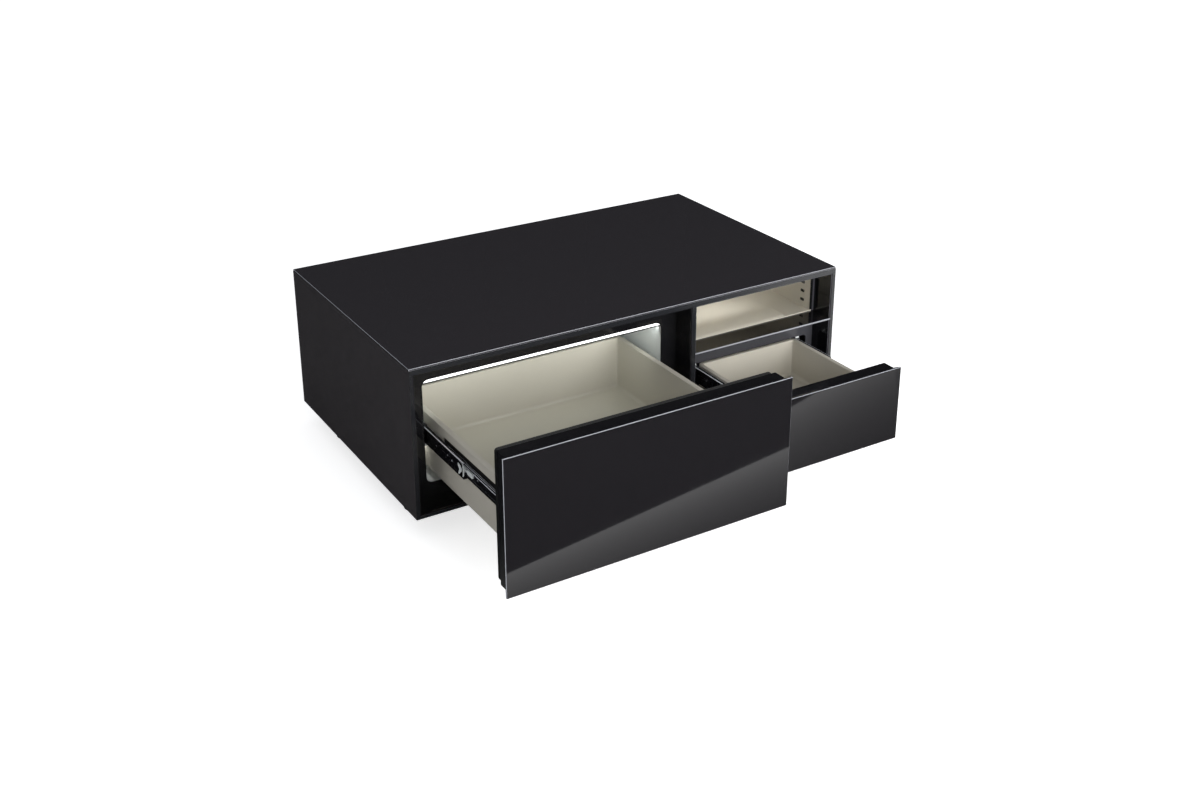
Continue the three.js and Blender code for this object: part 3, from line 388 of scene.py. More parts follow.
def linear(code: str) -> tuple[float, float, float, float]:
    """Turns sRGB hex to linear: c / 12.92 where dark, ((c + 0.055) / 1.055) to the 2.4 elsewhere.

    Args:
        code: Hex digits after a hash.

    Returns:
        Red, green, blue and a full alpha.
    """
    parts = np.array([int(code[i:i + 2], 16) / 255 for i in (1, 3, 5)])
    red, green, blue = np.where(parts <= 0.04045, parts / 12.92, ((parts + 0.055) / 1.055) ** 2.4)
    return float(red), float(green), float(blue), 1.0


def per_metre(size_mm: float) -> float:
    """Texture scale whose features are this many millimetres apart."""
    return 1000.0 / size_mm


class Tree:
    """The nodes of one material or world.

    Args:
        owner: Material or world that holds them.
    """

    def __init__(self, owner: bpy.types.ID) -> None:
        """Takes the owner's tree and empties it."""
        owner.use_nodes = True
        self.tree = owner.node_tree
        self.tree.nodes.clear()

    def add(self, kind: str, inputs: dict[str | int, Any] | None = None,
            **settings: Any) -> bpy.types.Node:
        """Adds a node with its settings and links.

        Args:
            kind: Node type, without its leading ShaderNode.
            inputs: Value, socket or node for each input; a node gives its first output.
            settings: Properties of the node.

        Returns:
            The node.
        """
        node = self.tree.nodes.new("ShaderNode" + kind)
        for key, value in settings.items():
            setattr(node, key, value)
        for key, value in (inputs or {}).items():
            if isinstance(value, bpy.types.Node):
                value = value.outputs[MIX_RESULT if value.type == "MIX" else 0]
            if isinstance(value, bpy.types.NodeSocket):
                self.tree.links.new(value, node.inputs[key])
            else:
                node.inputs[key].default_value = value
        return node


def forward(tree: Tree) -> bpy.types.Node:
    """One on faces that look to the front of the table, where minus Y of the normal is near one."""
    parts = tree.add("SeparateXYZ", {0: tree.add("NewGeometry").outputs["True Normal"]})
    return tree.add("MapRange", {0: parts.outputs[1], 1: -0.9, 2: -0.98, 3: 0.0, 4: 1.0})


@dataclass(frozen=True)
class Finish:
    """A material made from what the real one is.

    Args:
        name: Common name and how its surface was made.
        colour: Main sRGB colour.
        roughness: Typical roughness.
        ior: Typical index of refraction; a metal leaves it.
    """

    name: str
    colour: str
    roughness: float
    ior: float = 1.5

    def shader(self, tree: Tree) -> bpy.types.Node:
        """Adds the nodes and gives the one that shades the surface."""
        raise NotImplementedError

    def material(self) -> bpy.types.Material:
        """The material, made once.

        Returns:
            The material.
        """
        found = bpy.data.materials.get(self.name)
        if found is None:
            found = bpy.data.materials.new(self.name)
            tree = Tree(found)
            tree.add("OutputMaterial", {"Surface": self.shader(tree)})
        return found


@dataclass(frozen=True)
class PaintedGlass(Finish):
    """Float glass, tempered and painted black behind: a dark mirror, slowly waved by the rollers.

    Args:
        edge: Colour of the ground edge: partly its own frosted tone, partly a painted highlight, so
            that the bevel shows as a bright line.
        edge_roughness: Roughness of the ground edge.
        thin: Whether the whole front face is ground, as on thin glass; there the edge colour is
            partly a painted highlight.
        dust_mm: Distance between marks of dust and wiping, drawn coarser so that they show.
        wave_mm: Distance between the waves of the rollers.
        wave_height: Height of those waves.
    """

    ior: float = 1.52
    edge: str = "#94969C"
    edge_roughness: float = 0.4
    thin: bool = False
    dust_mm: float = 7.0
    wave_mm: float = 260.0
    wave_height: float = 0.6 * MM

    def shader(self, tree: Tree) -> bpy.types.Node:
        """Paint colour under glass, ground bevel where no component of the normal is near one.

        Args:
            tree: Nodes of the material.

        Returns:
            The node that shades the surface.
        """
        place = tree.add("TexCoord").outputs["Object"]
        normal = tree.add("NewGeometry").outputs["True Normal"]
        facing = tree.add("VectorMath", {0: normal}, operation="ABSOLUTE")
        parts = tree.add("SeparateXYZ", {0: facing})
        wide = tree.add("Math", {0: parts.outputs[0], 1: parts.outputs[1]}, operation="MAXIMUM")
        most = tree.add("Math", {0: wide, 1: parts.outputs[2]}, operation="MAXIMUM")
        # Ground edge and painted highlight: bevels, and on thin glass the front face, take the pale
        # edge colour.
        ground = tree.add("MapRange", {0: most, 1: 0.98, 2: 0.8, 3: 0.0, 4: 1.0})
        if self.thin:
            ground = tree.add("Math", {0: ground, 1: forward(tree)}, operation="MAXIMUM")
        marks = tree.add("TexNoise", {
            "Vector": place, "Scale": per_metre(self.dust_mm), "Detail": 6.0})
        film = tree.add("MapRange", {
            0: marks, 1: 0.35, 2: 0.75, 3: self.roughness, 4: self.roughness * 2.2})
        rough = tree.add("MapRange", {0: ground, 1: 0.0, 2: 1.0, 3: film, 4: self.edge_roughness})
        tint = tree.add("Mix", {
            MIX_FACTOR: ground, MIX_A: linear(self.colour), MIX_B: linear(self.edge)},
            data_type="RGBA")
        wave = tree.add("TexNoise", {
            "Vector": place, "Scale": per_metre(self.wave_mm), "Detail": 1.0})
        bump = tree.add("Bump", {"Height": wave, "Strength": 0.12, "Distance": self.wave_height})
        return tree.add("BsdfPrincipled", {
            "Base Color": tint, "Roughness": rough, "IOR": self.ior, "Normal": bump})


@dataclass(frozen=True)
class SprayedLacquer(Finish):
    """Satin lacquer sprayed on board or sheet: fine orange peel, slightly uneven depth of colour.

    Args:
        peel_mm: Distance between the bumps of the orange peel.
        peel: Strength of the bumps.
        edge: Colour of the faces that look forward, darker than the rest as painted shade; none
            where paint goes round.
        edge_roughness: Roughness of those edges.
        mottle_mm: Distance over which the depth of colour shifts.
        peel_height: Height of the orange peel.
    """

    peel_mm: float = 1.4
    peel: float = 0.1
    edge: str | None = None
    edge_roughness: float = 0.14
    mottle_mm: float = 70.0
    peel_height: float = 0.06 * MM

    def shader(self, tree: Tree) -> bpy.types.Node:
        """Colour mottled over tens of millimetres, roughness with it, and orange peel as bump.

        Args:
            tree: Nodes of the material.

        Returns:
            The node that shades the surface.
        """
        place = tree.add("TexCoord").outputs["Object"]
        cloud = tree.add("TexNoise", {
            "Vector": place, "Scale": per_metre(self.mottle_mm), "Detail": 4.0})
        light = tree.add("HueSaturation", {"Value": 1.25, "Color": linear(self.colour)})
        tint = tree.add("Mix", {MIX_FACTOR: cloud, MIX_A: linear(self.colour), MIX_B: light},
                        data_type="RGBA")
        rough = tree.add("MapRange", {
            0: cloud, 1: 0.3, 2: 0.7, 3: self.roughness * 0.88, 4: self.roughness * 1.12})
        # Painted shade: the faces that look forward take the darker edge colour.
        if self.edge:
            ahead = forward(tree)
            tint = tree.add("Mix", {MIX_FACTOR: ahead, MIX_A: tint, MIX_B: linear(self.edge)},
                            data_type="RGBA")
            rough = tree.add("MapRange", {
                0: ahead, 1: 0.0, 2: 1.0, 3: rough, 4: self.edge_roughness})
        skin = tree.add("TexNoise", {
            "Vector": place, "Scale": per_metre(self.peel_mm), "Detail": 2.0})
        bump = tree.add("Bump", {
            "Height": skin, "Strength": self.peel, "Distance": self.peel_height})
        return tree.add("BsdfPrincipled", {
            "Base Color": tint, "Roughness": rough, "IOR": self.ior, "Normal": bump})


@dataclass(frozen=True)
class PolishedMoulding(Finish):
    """Gloss ABS from a mirror-finished mould: flow waviness over centimetres, hairline wiping
    scratches.

    Args:
        face: Colour of the faces that look forward, lighter than the plastic: painted light and
            reflection of the floor.
        gloss: Specular level, over a half where a clear hard coat lies on the plastic.
        hair_mm: Distance between the scratches, drawn coarser than real ones so that they show.
        haze_mm: Distance between the hazy spots.
        flow_mm: Distance between the waves that the flow in the mould leaves.
        flow_height: Height of those waves.
    """

    ior: float = 1.54
    face: str = "#161618"
    gloss: float = 0.75
    hair_mm: float = 0.9
    haze_mm: float = 30.0
    flow_mm: float = 55.0
    flow_height: float = 0.25 * MM

    def shader(self, tree: Tree) -> bpy.types.Node:
        """Deep colour, scratches as roughness, waviness as bump.

        Args:
            tree: Nodes of the material.

        Returns:
            The node that shades the surface.
        """
        place = tree.add("TexCoord").outputs["Object"]
        hair = tree.add("Mapping", {"Vector": place, "Scale": (0.05, 1.0, 1.0)})
        lines = tree.add("TexNoise", {
            "Vector": hair, "Scale": per_metre(self.hair_mm), "Detail": 5.0})
        rough = tree.add("MapRange", {
            0: lines, 1: 0.45, 2: 0.8, 3: self.roughness, 4: self.roughness * 2.5})
        spots = tree.add("TexNoise", {
            "Vector": place, "Scale": per_metre(self.haze_mm), "Detail": 5.0})
        haze = tree.add("HueSaturation", {"Value": 1.6, "Color": linear(self.colour)})
        deep = tree.add("Mix", {MIX_FACTOR: spots, MIX_A: linear(self.colour), MIX_B: haze},
                        data_type="RGBA")
        # Painted reflection: the faces that look forward take the lighter face colour.
        tint = tree.add("Mix", {MIX_FACTOR: forward(tree), MIX_A: deep, MIX_B: linear(self.face)},
                        data_type="RGBA")
        wave = tree.add("TexNoise", {
            "Vector": place, "Scale": per_metre(self.flow_mm), "Detail": 1.0})
        bump = tree.add("Bump", {"Height": wave, "Strength": 0.16, "Distance": self.flow_height})
        return tree.add("BsdfPrincipled", {
            "Base Color": tint, "Roughness": rough, "IOR": self.ior, "Normal": bump,
            "Specular IOR Level": self.gloss})


@dataclass(frozen=True)
class GrainedMoulding(Finish):
    """Plastic from a spark-eroded mould: an even pebble grain that dulls it, and a slow tone shift.

    Args:
        grain_mm: Distance between the pebbles, drawn coarser than real ones so that they show.
        relief: Strength of the grain.
        glow: Share of light scattered inside the plastic.
        shift_mm: Distance over which the tone shifts.
        grain_height: Height of the pebbles.
        scatter: How far light travels inside the plastic.
    """

    grain_mm: float = 0.9
    relief: float = 0.25
    glow: float = 0.0
    shift_mm: float = 120.0
    grain_height: float = 0.05 * MM
    scatter: float = 2.0 * MM

    def shader(self, tree: Tree) -> bpy.types.Node:
        """Colour with a slow shift, pebbles as bump and as a fine tone.

        Args:
            tree: Nodes of the material.

        Returns:
            The node that shades the surface.
        """
        place = tree.add("TexCoord").outputs["Object"]
        pebble = tree.add("TexVoronoi", {"Vector": place, "Scale": per_metre(self.grain_mm)},
                          feature="SMOOTH_F1")
        slow = tree.add("TexNoise", {
            "Vector": place, "Scale": per_metre(self.shift_mm), "Detail": 3.0})
        dark = tree.add("HueSaturation", {"Value": 0.9, "Color": linear(self.colour)})
        base = tree.add("Mix", {MIX_FACTOR: slow, MIX_A: linear(self.colour), MIX_B: dark},
                        data_type="RGBA")
        share = tree.add("MapRange", {0: pebble, 1: 0.0, 2: 0.6, 3: 0.0, 4: 0.35})
        tint = tree.add("Mix", {MIX_FACTOR: share, MIX_A: base, MIX_B: dark}, data_type="RGBA")
        bump = tree.add("Bump", {
            "Height": pebble, "Strength": self.relief, "Distance": self.grain_height})
        return tree.add("BsdfPrincipled", {
            "Base Color": tint, "Roughness": self.roughness, "IOR": self.ior, "Normal": bump,
            "Subsurface Weight": self.glow, "Subsurface Scale": self.scatter})


@dataclass(frozen=True)
class OpalDiffuser(Finish):
    """Opal acrylic in front of a row of light chips: even white with a faint rise at each chip.

    Args:
        chip_mm: Distance between the chips.
        power: Radiance, where 1 shows as white.
    """

    ior: float = 1.49
    chip_mm: float = 32.0
    power: float = 1.2

    def shader(self, tree: Tree) -> bpy.types.Node:
        """White acrylic that gives off light, a little more at each chip.

        Args:
            tree: Nodes of the material.

        Returns:
            The node that shades the surface.
        """
        place = tree.add("TexCoord").outputs["Object"]
        # A wave texture of scale s has s * 10 / pi waves in a metre.
        waves = per_metre(self.chip_mm) / 10.0 * math.pi
        chips = tree.add("TexWave", {"Vector": place, "Scale": waves, "Distortion": 0.0},
                         bands_direction="X")
        glow = tree.add("MapRange", {
            0: chips.outputs["Fac"], 1: 0.0, 2: 1.0, 3: self.power * 0.9, 4: self.power})
        return tree.add("BsdfPrincipled", {
            "Base Color": linear(self.colour), "Roughness": self.roughness, "IOR": self.ior,
            "Emission Color": linear(self.colour), "Emission Strength": glow})


@dataclass(frozen=True)
class ExtrudedRubber(Finish):
    """Black rubber from a die or a mould: matt with draw lines and a dusty bloom.

    Args:
        dusty: Colour of the bloom.
        bloom_mm: Distance between its patches.
        pore_mm: Distance between the pores, drawn coarser than real ones so that they show.
        pore_depth: Depth of the pores.
    """

    ior: float = 1.52
    dusty: str = "#29292A"
    bloom_mm: float = 9.0
    pore_mm: float = 0.8
    pore_depth: float = 0.08 * MM

    def shader(self, tree: Tree) -> bpy.types.Node:
        """Bloom as a pale tone, draw lines and pores as bump.

        Args:
            tree: Nodes of the material.

        Returns:
            The node that shades the surface.
        """
        place = tree.add("TexCoord").outputs["Object"]
        bloom = tree.add("TexNoise", {
            "Vector": place, "Scale": per_metre(self.bloom_mm), "Detail": 6.0})
        share = tree.add("MapRange", {0: bloom, 1: 0.45, 2: 0.8, 3: 0.0, 4: 0.5})
        tint = tree.add("Mix", {
            MIX_FACTOR: share, MIX_A: linear(self.colour), MIX_B: linear(self.dusty)},
            data_type="RGBA")
        pores = tree.add("TexNoise", {
            "Vector": place, "Scale": per_metre(self.pore_mm), "Detail": 3.0})
        bump = tree.add("Bump", {"Height": pores, "Strength": 0.3, "Distance": self.pore_depth})
        return tree.add("BsdfPrincipled", {
            "Base Color": tint, "Roughness": self.roughness, "IOR": self.ior, "Normal": bump})


@dataclass(frozen=True)
class DrawnMetal(Finish):
    """Rolled, drawn or plated metal: streaks along its length, each a little brighter or rougher.

    Args:
        metallic: 1 for bare or plated metal, less where a black coat covers it.
        streak_mm: Distance between the streaks, drawn coarser than real ones so that they show.
        stretch: Scale along X, Y and Z, small along the streaks.
        tone: Second colour, of the streaks.
        painted_highlight: Colour of a slide's top flanges, a painted highlight where they turn up;
            none on other metal.
        painted_highlight_from_mm: Height that the top flanges are above.
        handling_mm: Distance between the marks of handling.
        streak_depth: Depth of the streaks.
    """

    metallic: float = 1.0
    streak_mm: float = 0.7
    stretch: Triple = (1.0, 0.03, 1.0)
    tone: str = "#FFFFFF"
    painted_highlight: str | None = None
    painted_highlight_from_mm: float = 174.0
    handling_mm: float = 14.0
    streak_depth: float = 0.04 * MM

    def shader(self, tree: Tree) -> bpy.types.Node:
        """Streaks as tone, roughness and bump, under a cloud of handling marks.

        Args:
            tree: Nodes of the material.

        Returns:
            The node that shades the surface.
        """
        place = tree.add("TexCoord").outputs["Object"]
        drawn = tree.add("Mapping", {"Vector": place, "Scale": self.stretch})
        streaks = tree.add("TexNoise", {
            "Vector": drawn, "Scale": per_metre(self.streak_mm), "Detail": 4.0})
        cloud = tree.add("TexNoise", {
            "Vector": place, "Scale": per_metre(self.handling_mm), "Detail": 5.0})
        both = tree.add("Math", {0: streaks, 1: cloud}, operation="MULTIPLY")
        share = tree.add("MapRange", {0: both, 1: 0.12, 2: 0.45, 3: 0.0, 4: 1.0})
        tint = tree.add("Mix", {
            MIX_FACTOR: share, MIX_A: linear(self.colour), MIX_B: linear(self.tone)},
            data_type="RGBA")
        rough = tree.add("MapRange", {
            0: both, 1: 0.12, 2: 0.45, 3: self.roughness * 0.8, 4: self.roughness * 1.3})
        # Painted highlight: the rolled corners of the top flanges take a near-white colour.
        if self.painted_highlight:
            painted_highlight_mask = self.painted_highlight_mask(tree, place)
            tint = tree.add("Mix", {MIX_FACTOR: painted_highlight_mask, MIX_A: tint, MIX_B: linear(self.painted_highlight)},
                            data_type="RGBA")
        bump = tree.add("Bump", {
            "Height": streaks, "Strength": 0.12, "Distance": self.streak_depth})
        return tree.add("BsdfPrincipled", {
            "Base Color": tint, "Roughness": rough, "Metallic": self.metallic, "Normal": bump})

    def painted_highlight_mask(self, tree: Tree, place: bpy.types.NodeSocket) -> bpy.types.Node:
        """Painted highlight mask: one on rolled corners above the flanges' height that turn up, not
        flat.

        Args:
            tree: Nodes of the material.
            place: Object coordinates.

        Returns:
            The last node.
        """
        parts = tree.add("SeparateXYZ", {0: tree.add("NewGeometry").outputs["True Normal"]})
        rising = tree.add("MapRange", {0: parts.outputs[2], 1: 0.15, 2: 0.3, 3: 0.0, 4: 1.0})
        flat = tree.add("MapRange", {0: parts.outputs[2], 1: 0.985, 2: 0.995, 3: 1.0, 4: 0.0})
        upward = tree.add("Math", {0: rising, 1: flat}, operation="MULTIPLY")
        height = tree.add("SeparateXYZ", {0: place}).outputs[2]
        above = tree.add("Math", {0: height, 1: self.painted_highlight_from_mm * MM},
                         operation="GREATER_THAN")
        return tree.add("Math", {0: upward, 1: above}, operation="MULTIPLY")


@dataclass(frozen=True)
class ZincPlate(Finish):
    """Hot-dip zinc on steel sheet: crystals a centimetre across, each with its own brightness.

    Args:
        crystal_mm: Distance between the crystals.
        frost_mm: Distance between the grains of the frost on them.
        frost_height: Height of those grains.
    """

    crystal_mm: float = 11.0
    frost_mm: float = 1.0
    frost_height: float = 0.05 * MM

    def shader(self, tree: Tree) -> bpy.types.Node:
        """Crystal cells as tone and roughness, fine frost as bump.

        Args:
            tree: Nodes of the material.

        Returns:
            The node that shades the surface.
        """
        place = tree.add("TexCoord").outputs["Object"]
        cell = tree.add("TexVoronoi", {
            "Vector": place, "Scale": per_metre(self.crystal_mm), "Randomness": 1.0})
        value = tree.add("RGBToBW", {0: cell.outputs["Color"]})
        pale = tree.add("HueSaturation", {"Value": 1.35, "Color": linear(self.colour)})
        tint = tree.add("Mix", {MIX_FACTOR: value, MIX_A: linear(self.colour), MIX_B: pale},
                        data_type="RGBA")
        rough = tree.add("MapRange", {
            0: value, 1: 0.2, 2: 0.8, 3: self.roughness * 0.8, 4: self.roughness * 1.25})
        frost = tree.add("TexNoise", {
            "Vector": place, "Scale": per_metre(self.frost_mm), "Detail": 3.0})
        bump = tree.add("Bump", {"Height": frost, "Strength": 0.15, "Distance": self.frost_height})
        return tree.add("BsdfPrincipled", {
            "Base Color": tint, "Roughness": rough, "Metallic": 1.0, "Normal": bump})


@dataclass(frozen=True)
class PouredFoam(Finish):
    """Rigid polyurethane foam, poured and cut: closed cells that make it matt and finely pitted.

    Args:
        aged: Colour where the skin has aged.
        cell_mm: Distance between the cells, drawn coarser than real ones so that they show.
        aged_mm: Distance between the aged patches.
        cell_depth: Depth of the cut cells.
    """

    aged: str = "#C2B27C"
    cell_mm: float = 1.6
    aged_mm: float = 60.0
    cell_depth: float = 0.4 * MM

    def shader(self, tree: Tree) -> bpy.types.Node:
        """Cells as bump, tone darker where the skin has aged.

        Args:
            tree: Nodes of the material.

        Returns:
            The node that shades the surface.
        """
        place = tree.add("TexCoord").outputs["Object"]
        cell = tree.add("TexVoronoi", {"Vector": place, "Scale": per_metre(self.cell_mm)})
        patches = tree.add("TexNoise", {
            "Vector": place, "Scale": per_metre(self.aged_mm), "Detail": 4.0})
        tint = tree.add("Mix", {
            MIX_FACTOR: patches, MIX_A: linear(self.colour), MIX_B: linear(self.aged)},
            data_type="RGBA")
        bump = tree.add("Bump", {"Height": cell, "Strength": 0.5, "Distance": self.cell_depth})
        return tree.add("BsdfPrincipled", {
            "Base Color": tint, "Roughness": self.roughness, "IOR": self.ior, "Normal": bump})


# The top's colour is lighter than the same painted glass on the doors and shelf: painted light on
# the upward top.
GLASS = PaintedGlass("tempered_glass_painted_black", "#323033", 0.035)
DOOR_GLASS = PaintedGlass("tempered_glass_painted_deep_black", "#171618", 0.035)
SHELF_GLASS = PaintedGlass("tempered_glass_painted_ground_edge", "#171618", 0.035, thin=True)
# Its edge colour, darker than the board, is painted shade on the faces that look forward.
BOARD = SprayedLacquer("board_sprayed_satin_black", "#403D3F", 0.4, edge="#202124")
ENAMEL = SprayedLacquer("steel_stoved_black_enamel", "#161617", 0.32, peel_mm=2.2, peel=0.22)
# The face colours of both, lighter than the plastic, are painted light and reflection on the faces
# that look forward.
GLOSS = PolishedMoulding("abs_moulded_gloss_black", "#0F0F11", 0.07)
DULLED = PolishedMoulding("abs_moulded_black_low_gloss_painted_reflection", "#0F0F11", 0.1, face="#424246", gloss=0.25)
MATT = GrainedMoulding("polypropylene_grained_black", "#1B1B1C", 0.55, grain_mm=0.7, relief=0.35)
LINER = GrainedMoulding("polystyrene_vacuum_formed_grey", "#E0E3E2", 0.38, grain_mm=1.6,
                        relief=0.12)
CREAM = GrainedMoulding("abs_moulded_cream", "#CBC6B9", 0.42, grain_mm=1.1, relief=0.16)
ACETAL = GrainedMoulding("acetal_moulded_pale_grey", "#E2E6E5", 0.35, grain_mm=0.8, relief=0.1)
OPAL = OpalDiffuser("acrylic_opal_diffuser", "#FFFFFF", 0.35)
RUBBER = ExtrudedRubber("rubber_extruded_black", "#0E0E0F", 0.7)
# Its near-white colour on the top flanges is a painted highlight.
SLIDE = DrawnMetal("steel_rolled_black_coated", "#131316", 0.24, metallic=0.2, tone="#242327",
                   painted_highlight="#F6F9FF")
BRIGHT = DrawnMetal("steel_drawn_nickel_plated", "#9A9CA0", 0.24, tone="#C4C6C9")
FINS = DrawnMetal("aluminium_rolled_fin_stock", "#A7AAAD", 0.34, stretch=(1.0, 1.0, 0.03),
                  tone="#C9CBCE")
COPPER = DrawnMetal("copper_drawn_tube", "#B0704C", 0.3, stretch=(0.05, 1.0, 1.0), tone="#C98A63")
ZINC = ZincPlate("steel_hot_dip_zinc", "#8C9094", 0.38)
FOAM = PouredFoam("polyurethane_foam_poured", "#D8CFA0", 0.85)


# ----------------------------------------
# Placing
# ----------------------------------------


@dataclass(frozen=True)
class Span:
    """A CAD node's box at rest.

    Args:
        xs: Its range in X.
        ys: Its range in Y.
        zs: Its range in Z.
    """

    xs: Pair
    ys: Pair
    zs: Pair

    @staticmethod
    def of(node: str) -> "Span":
        """The box of a CAD node."""
        low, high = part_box(node)
        return Span((low[0], high[0]), (low[1], high[1]), (low[2], high[2]))

    @property
    def centre(self) -> Triple:
        """Its middle."""
        return sum(self.xs) / 2, sum(self.ys) / 2, sum(self.zs) / 2

    @property
    def half(self) -> Triple:
        """Half of its three sides."""
        return tuple((high - low) / 2 for low, high in (self.xs, self.ys, self.zs))


def mesh_of(name: str, shell: Shell) -> bpy.types.Mesh:
    """Makes a mesh of a shell, merges equal points and turns every face outwards.

    Args:
        name: Name of the mesh.
        shell: Its surface.

    Returns:
        The mesh.
    """
    mesh = bpy.data.meshes.new(name)
    rows = [row for face in shell.faces for row in face.tolist()]
    mesh.from_pydata(shell.points.tolist(), [], rows)
    work = bmesh.new()
    work.from_mesh(mesh)
    bmesh.ops.remove_doubles(work, verts=work.verts, dist=MERGE_DISTANCE)
    bmesh.ops.recalc_face_normals(work, faces=work.faces)
    work.to_mesh(mesh)
    work.free()
    return mesh


def linked(name: str, mesh: bpy.types.Mesh) -> bpy.types.Object:
    """Puts an object of a mesh into the scene.

    Args:
        name: Its name.
        mesh: Its mesh.

    Returns:
        The object.
    """
    made = bpy.data.objects.new(name, mesh)
    bpy.context.scene.collection.objects.link(made)
    return made


def cut_from(made: bpy.types.Object, cutter: Shell) -> None:
    """Takes a cutter away from an object by an exact Boolean and keeps the result as its mesh.

    Args:
        made: Object to cut.
        cutter: Closed shell to take away.
    """
    tool = linked("cutter", mesh_of("cutter", cutter))
    step = made.modifiers.new("cut", "BOOLEAN")
    step.operation, step.solver, step.object = "DIFFERENCE", "EXACT", tool
    ready = made.evaluated_get(bpy.context.evaluated_depsgraph_get())
    made.data = bpy.data.meshes.new_from_object(ready)
    made.modifiers.clear()
    bpy.data.objects.remove(tool)


def place(name: str, shell: Shell, finish: Finish, body: str, slot: str,
          stands_for: Iterable[str] = (), cutter: Shell | None = None,
          sharp: float = 32.0) -> bpy.types.Object:
    """Puts a piece into the scene: mesh, cuts, smooth shading up to an angle, finish, body.

    Args:
        name: Name of the piece.
        shell: Its surface.
        finish: Its finish.
        body: CAD body that it rides on.
        slot: Material slot of the record; not used.
        stands_for: CAD nodes that it replaces.
        cutter: Closed shell taken away from it.
        sharp: Angle in degrees above which an edge stays sharp.

    Returns:
        The piece.
    """
    made = linked(name, mesh_of(name, shell))
    if cutter is not None:
        cut_from(made, cutter)
        made.data.name = name
    made.data.shade_smooth()
    made.data.set_sharp_from_angle(angle=math.radians(sharp))
    made.data.materials.clear()
    made.data.materials.append(finish.material())
    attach(made, body)
    if stands_for:
        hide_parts(*stands_for)
    LOG.info("%s rides on %s", name, body)
    return made


def dress(finish: Finish, *nodes: str) -> None:
    """Gives CAD nodes a finish, in every material slot they have.

    Args:
        finish: The finish.
        nodes: Names of the nodes.
    """
    for node in nodes:
        for holder in frame["nodes"][node].material_slots:
            holder.material = finish.material()
        LOG.info("%s is dressed", node)


def pan_heads(places: Sequence[Triple], radius: float, height: float,
              lie: Lie) -> tuple[Shell, Shell]:
    """Pan head screws: a disc that rounds off towards its top, with a cross cut into it.

    Args:
        places: Middle of each seat.
        radius: Radius of a head.
        height: Height of a head.
        lie: Where the head's own height points.

    Returns:
        The heads and the crosses to cut.
    """
    edge, inner = height * 0.35, radius * 0.1
    head = lathe([(inner, 0), (radius, 0), (radius, edge),
                  *quarter((radius * 0.55, edge), height * 0.65, 0, 90, 5), (inner, height)], 20)
    arm, half = radius * 0.6, radius * 0.12
    outline = np.array([(-arm, -half), (-half, -half), (-half, -arm), (half, -arm), (half, -half),
                        (arm, -half), (arm, half), (half, half), (half, arm), (-half, arm),
                        (-half, half), (-arm, half)])
    cross = prism(outline, (edge, height * 1.4))
    return head.lying(lie).repeated(places), cross.lying(lie).repeated(places)


# ----------------------------------------
# Cabinet
# ----------------------------------------


@dataclass
class Cabinet:
    """Glass top, lacquered panels, gloss surrounds and the screwed back panel.

    Args:
        screw_radius: Radius of the back panel's screw heads.
        screw_height: Their height above the panel.
        screw_inset: Distance of the screws from the panel's edges.
        screws_wide: Screws along the panel.
        screws_high: Screws up its sides.
        shank_radius: Radius of their shanks.
        shank_length: Length of the shanks.
    """

    screw_radius: float = 3.6 * MM
    screw_height: float = 1.6 * MM
    screw_inset: float = 9.0 * MM
    screws_wide: int = 5
    screws_high: int = 3
    shank_radius: float = 1.7 * MM
    shank_length: float = 7.0 * MM

    def build(self) -> None:
        """Dresses the panels and adds the screws."""
        dress(GLASS, "top_glass")
        dress(DOOR_GLASS, "fridge_door_glass", "storage_door_glass")
        dress(SHELF_GLASS, "niche_shelf")
        dress(BOARD, "top_panel", "side_panel_left", "side_panel_right", "bottom_panel",
              "centre_divider")
        dress(GLOSS, "fridge_surround", "fridge_door_core", "storage_door_core")
        dress(DULLED, "storage_surround", "niche_surround")
        dress(MATT, "back_panel")
        dress(FOAM, "insulation_foam")
        dress(ZINC, "machine_bulkhead")
        self.screws()

    def screws(self) -> None:
        """Pan heads in the holes of the back panel, with shanks that go into them."""
        panel = Span.of("back_panel")
        inset = self.screw_inset
        wide = np.linspace(panel.xs[0] + inset, panel.xs[1] - inset, self.screws_wide)
        high = np.linspace(panel.zs[0] + inset, panel.zs[1] - inset, self.screws_high)
        face = panel.ys[1]
        spots = [(x, face, z) for z in high[[0, -1]] for x in wide]
        spots += [(x, face, z) for z in high[1:-1] for x in wide[[0, -1]]]
        heads, crosses = pan_heads(spots, self.screw_radius, self.screw_height, Lie.FRONT)
        shank = lathe([(self.shank_radius, -self.shank_length), (self.shank_radius, 0.2 * MM)], 12)
        screws = heads.plus(shank.lying(Lie.FRONT).repeated(spots))
        place("back_panel_screws", screws, BRIGHT, "cabinet", "zinc_steel", cutter=crosses)


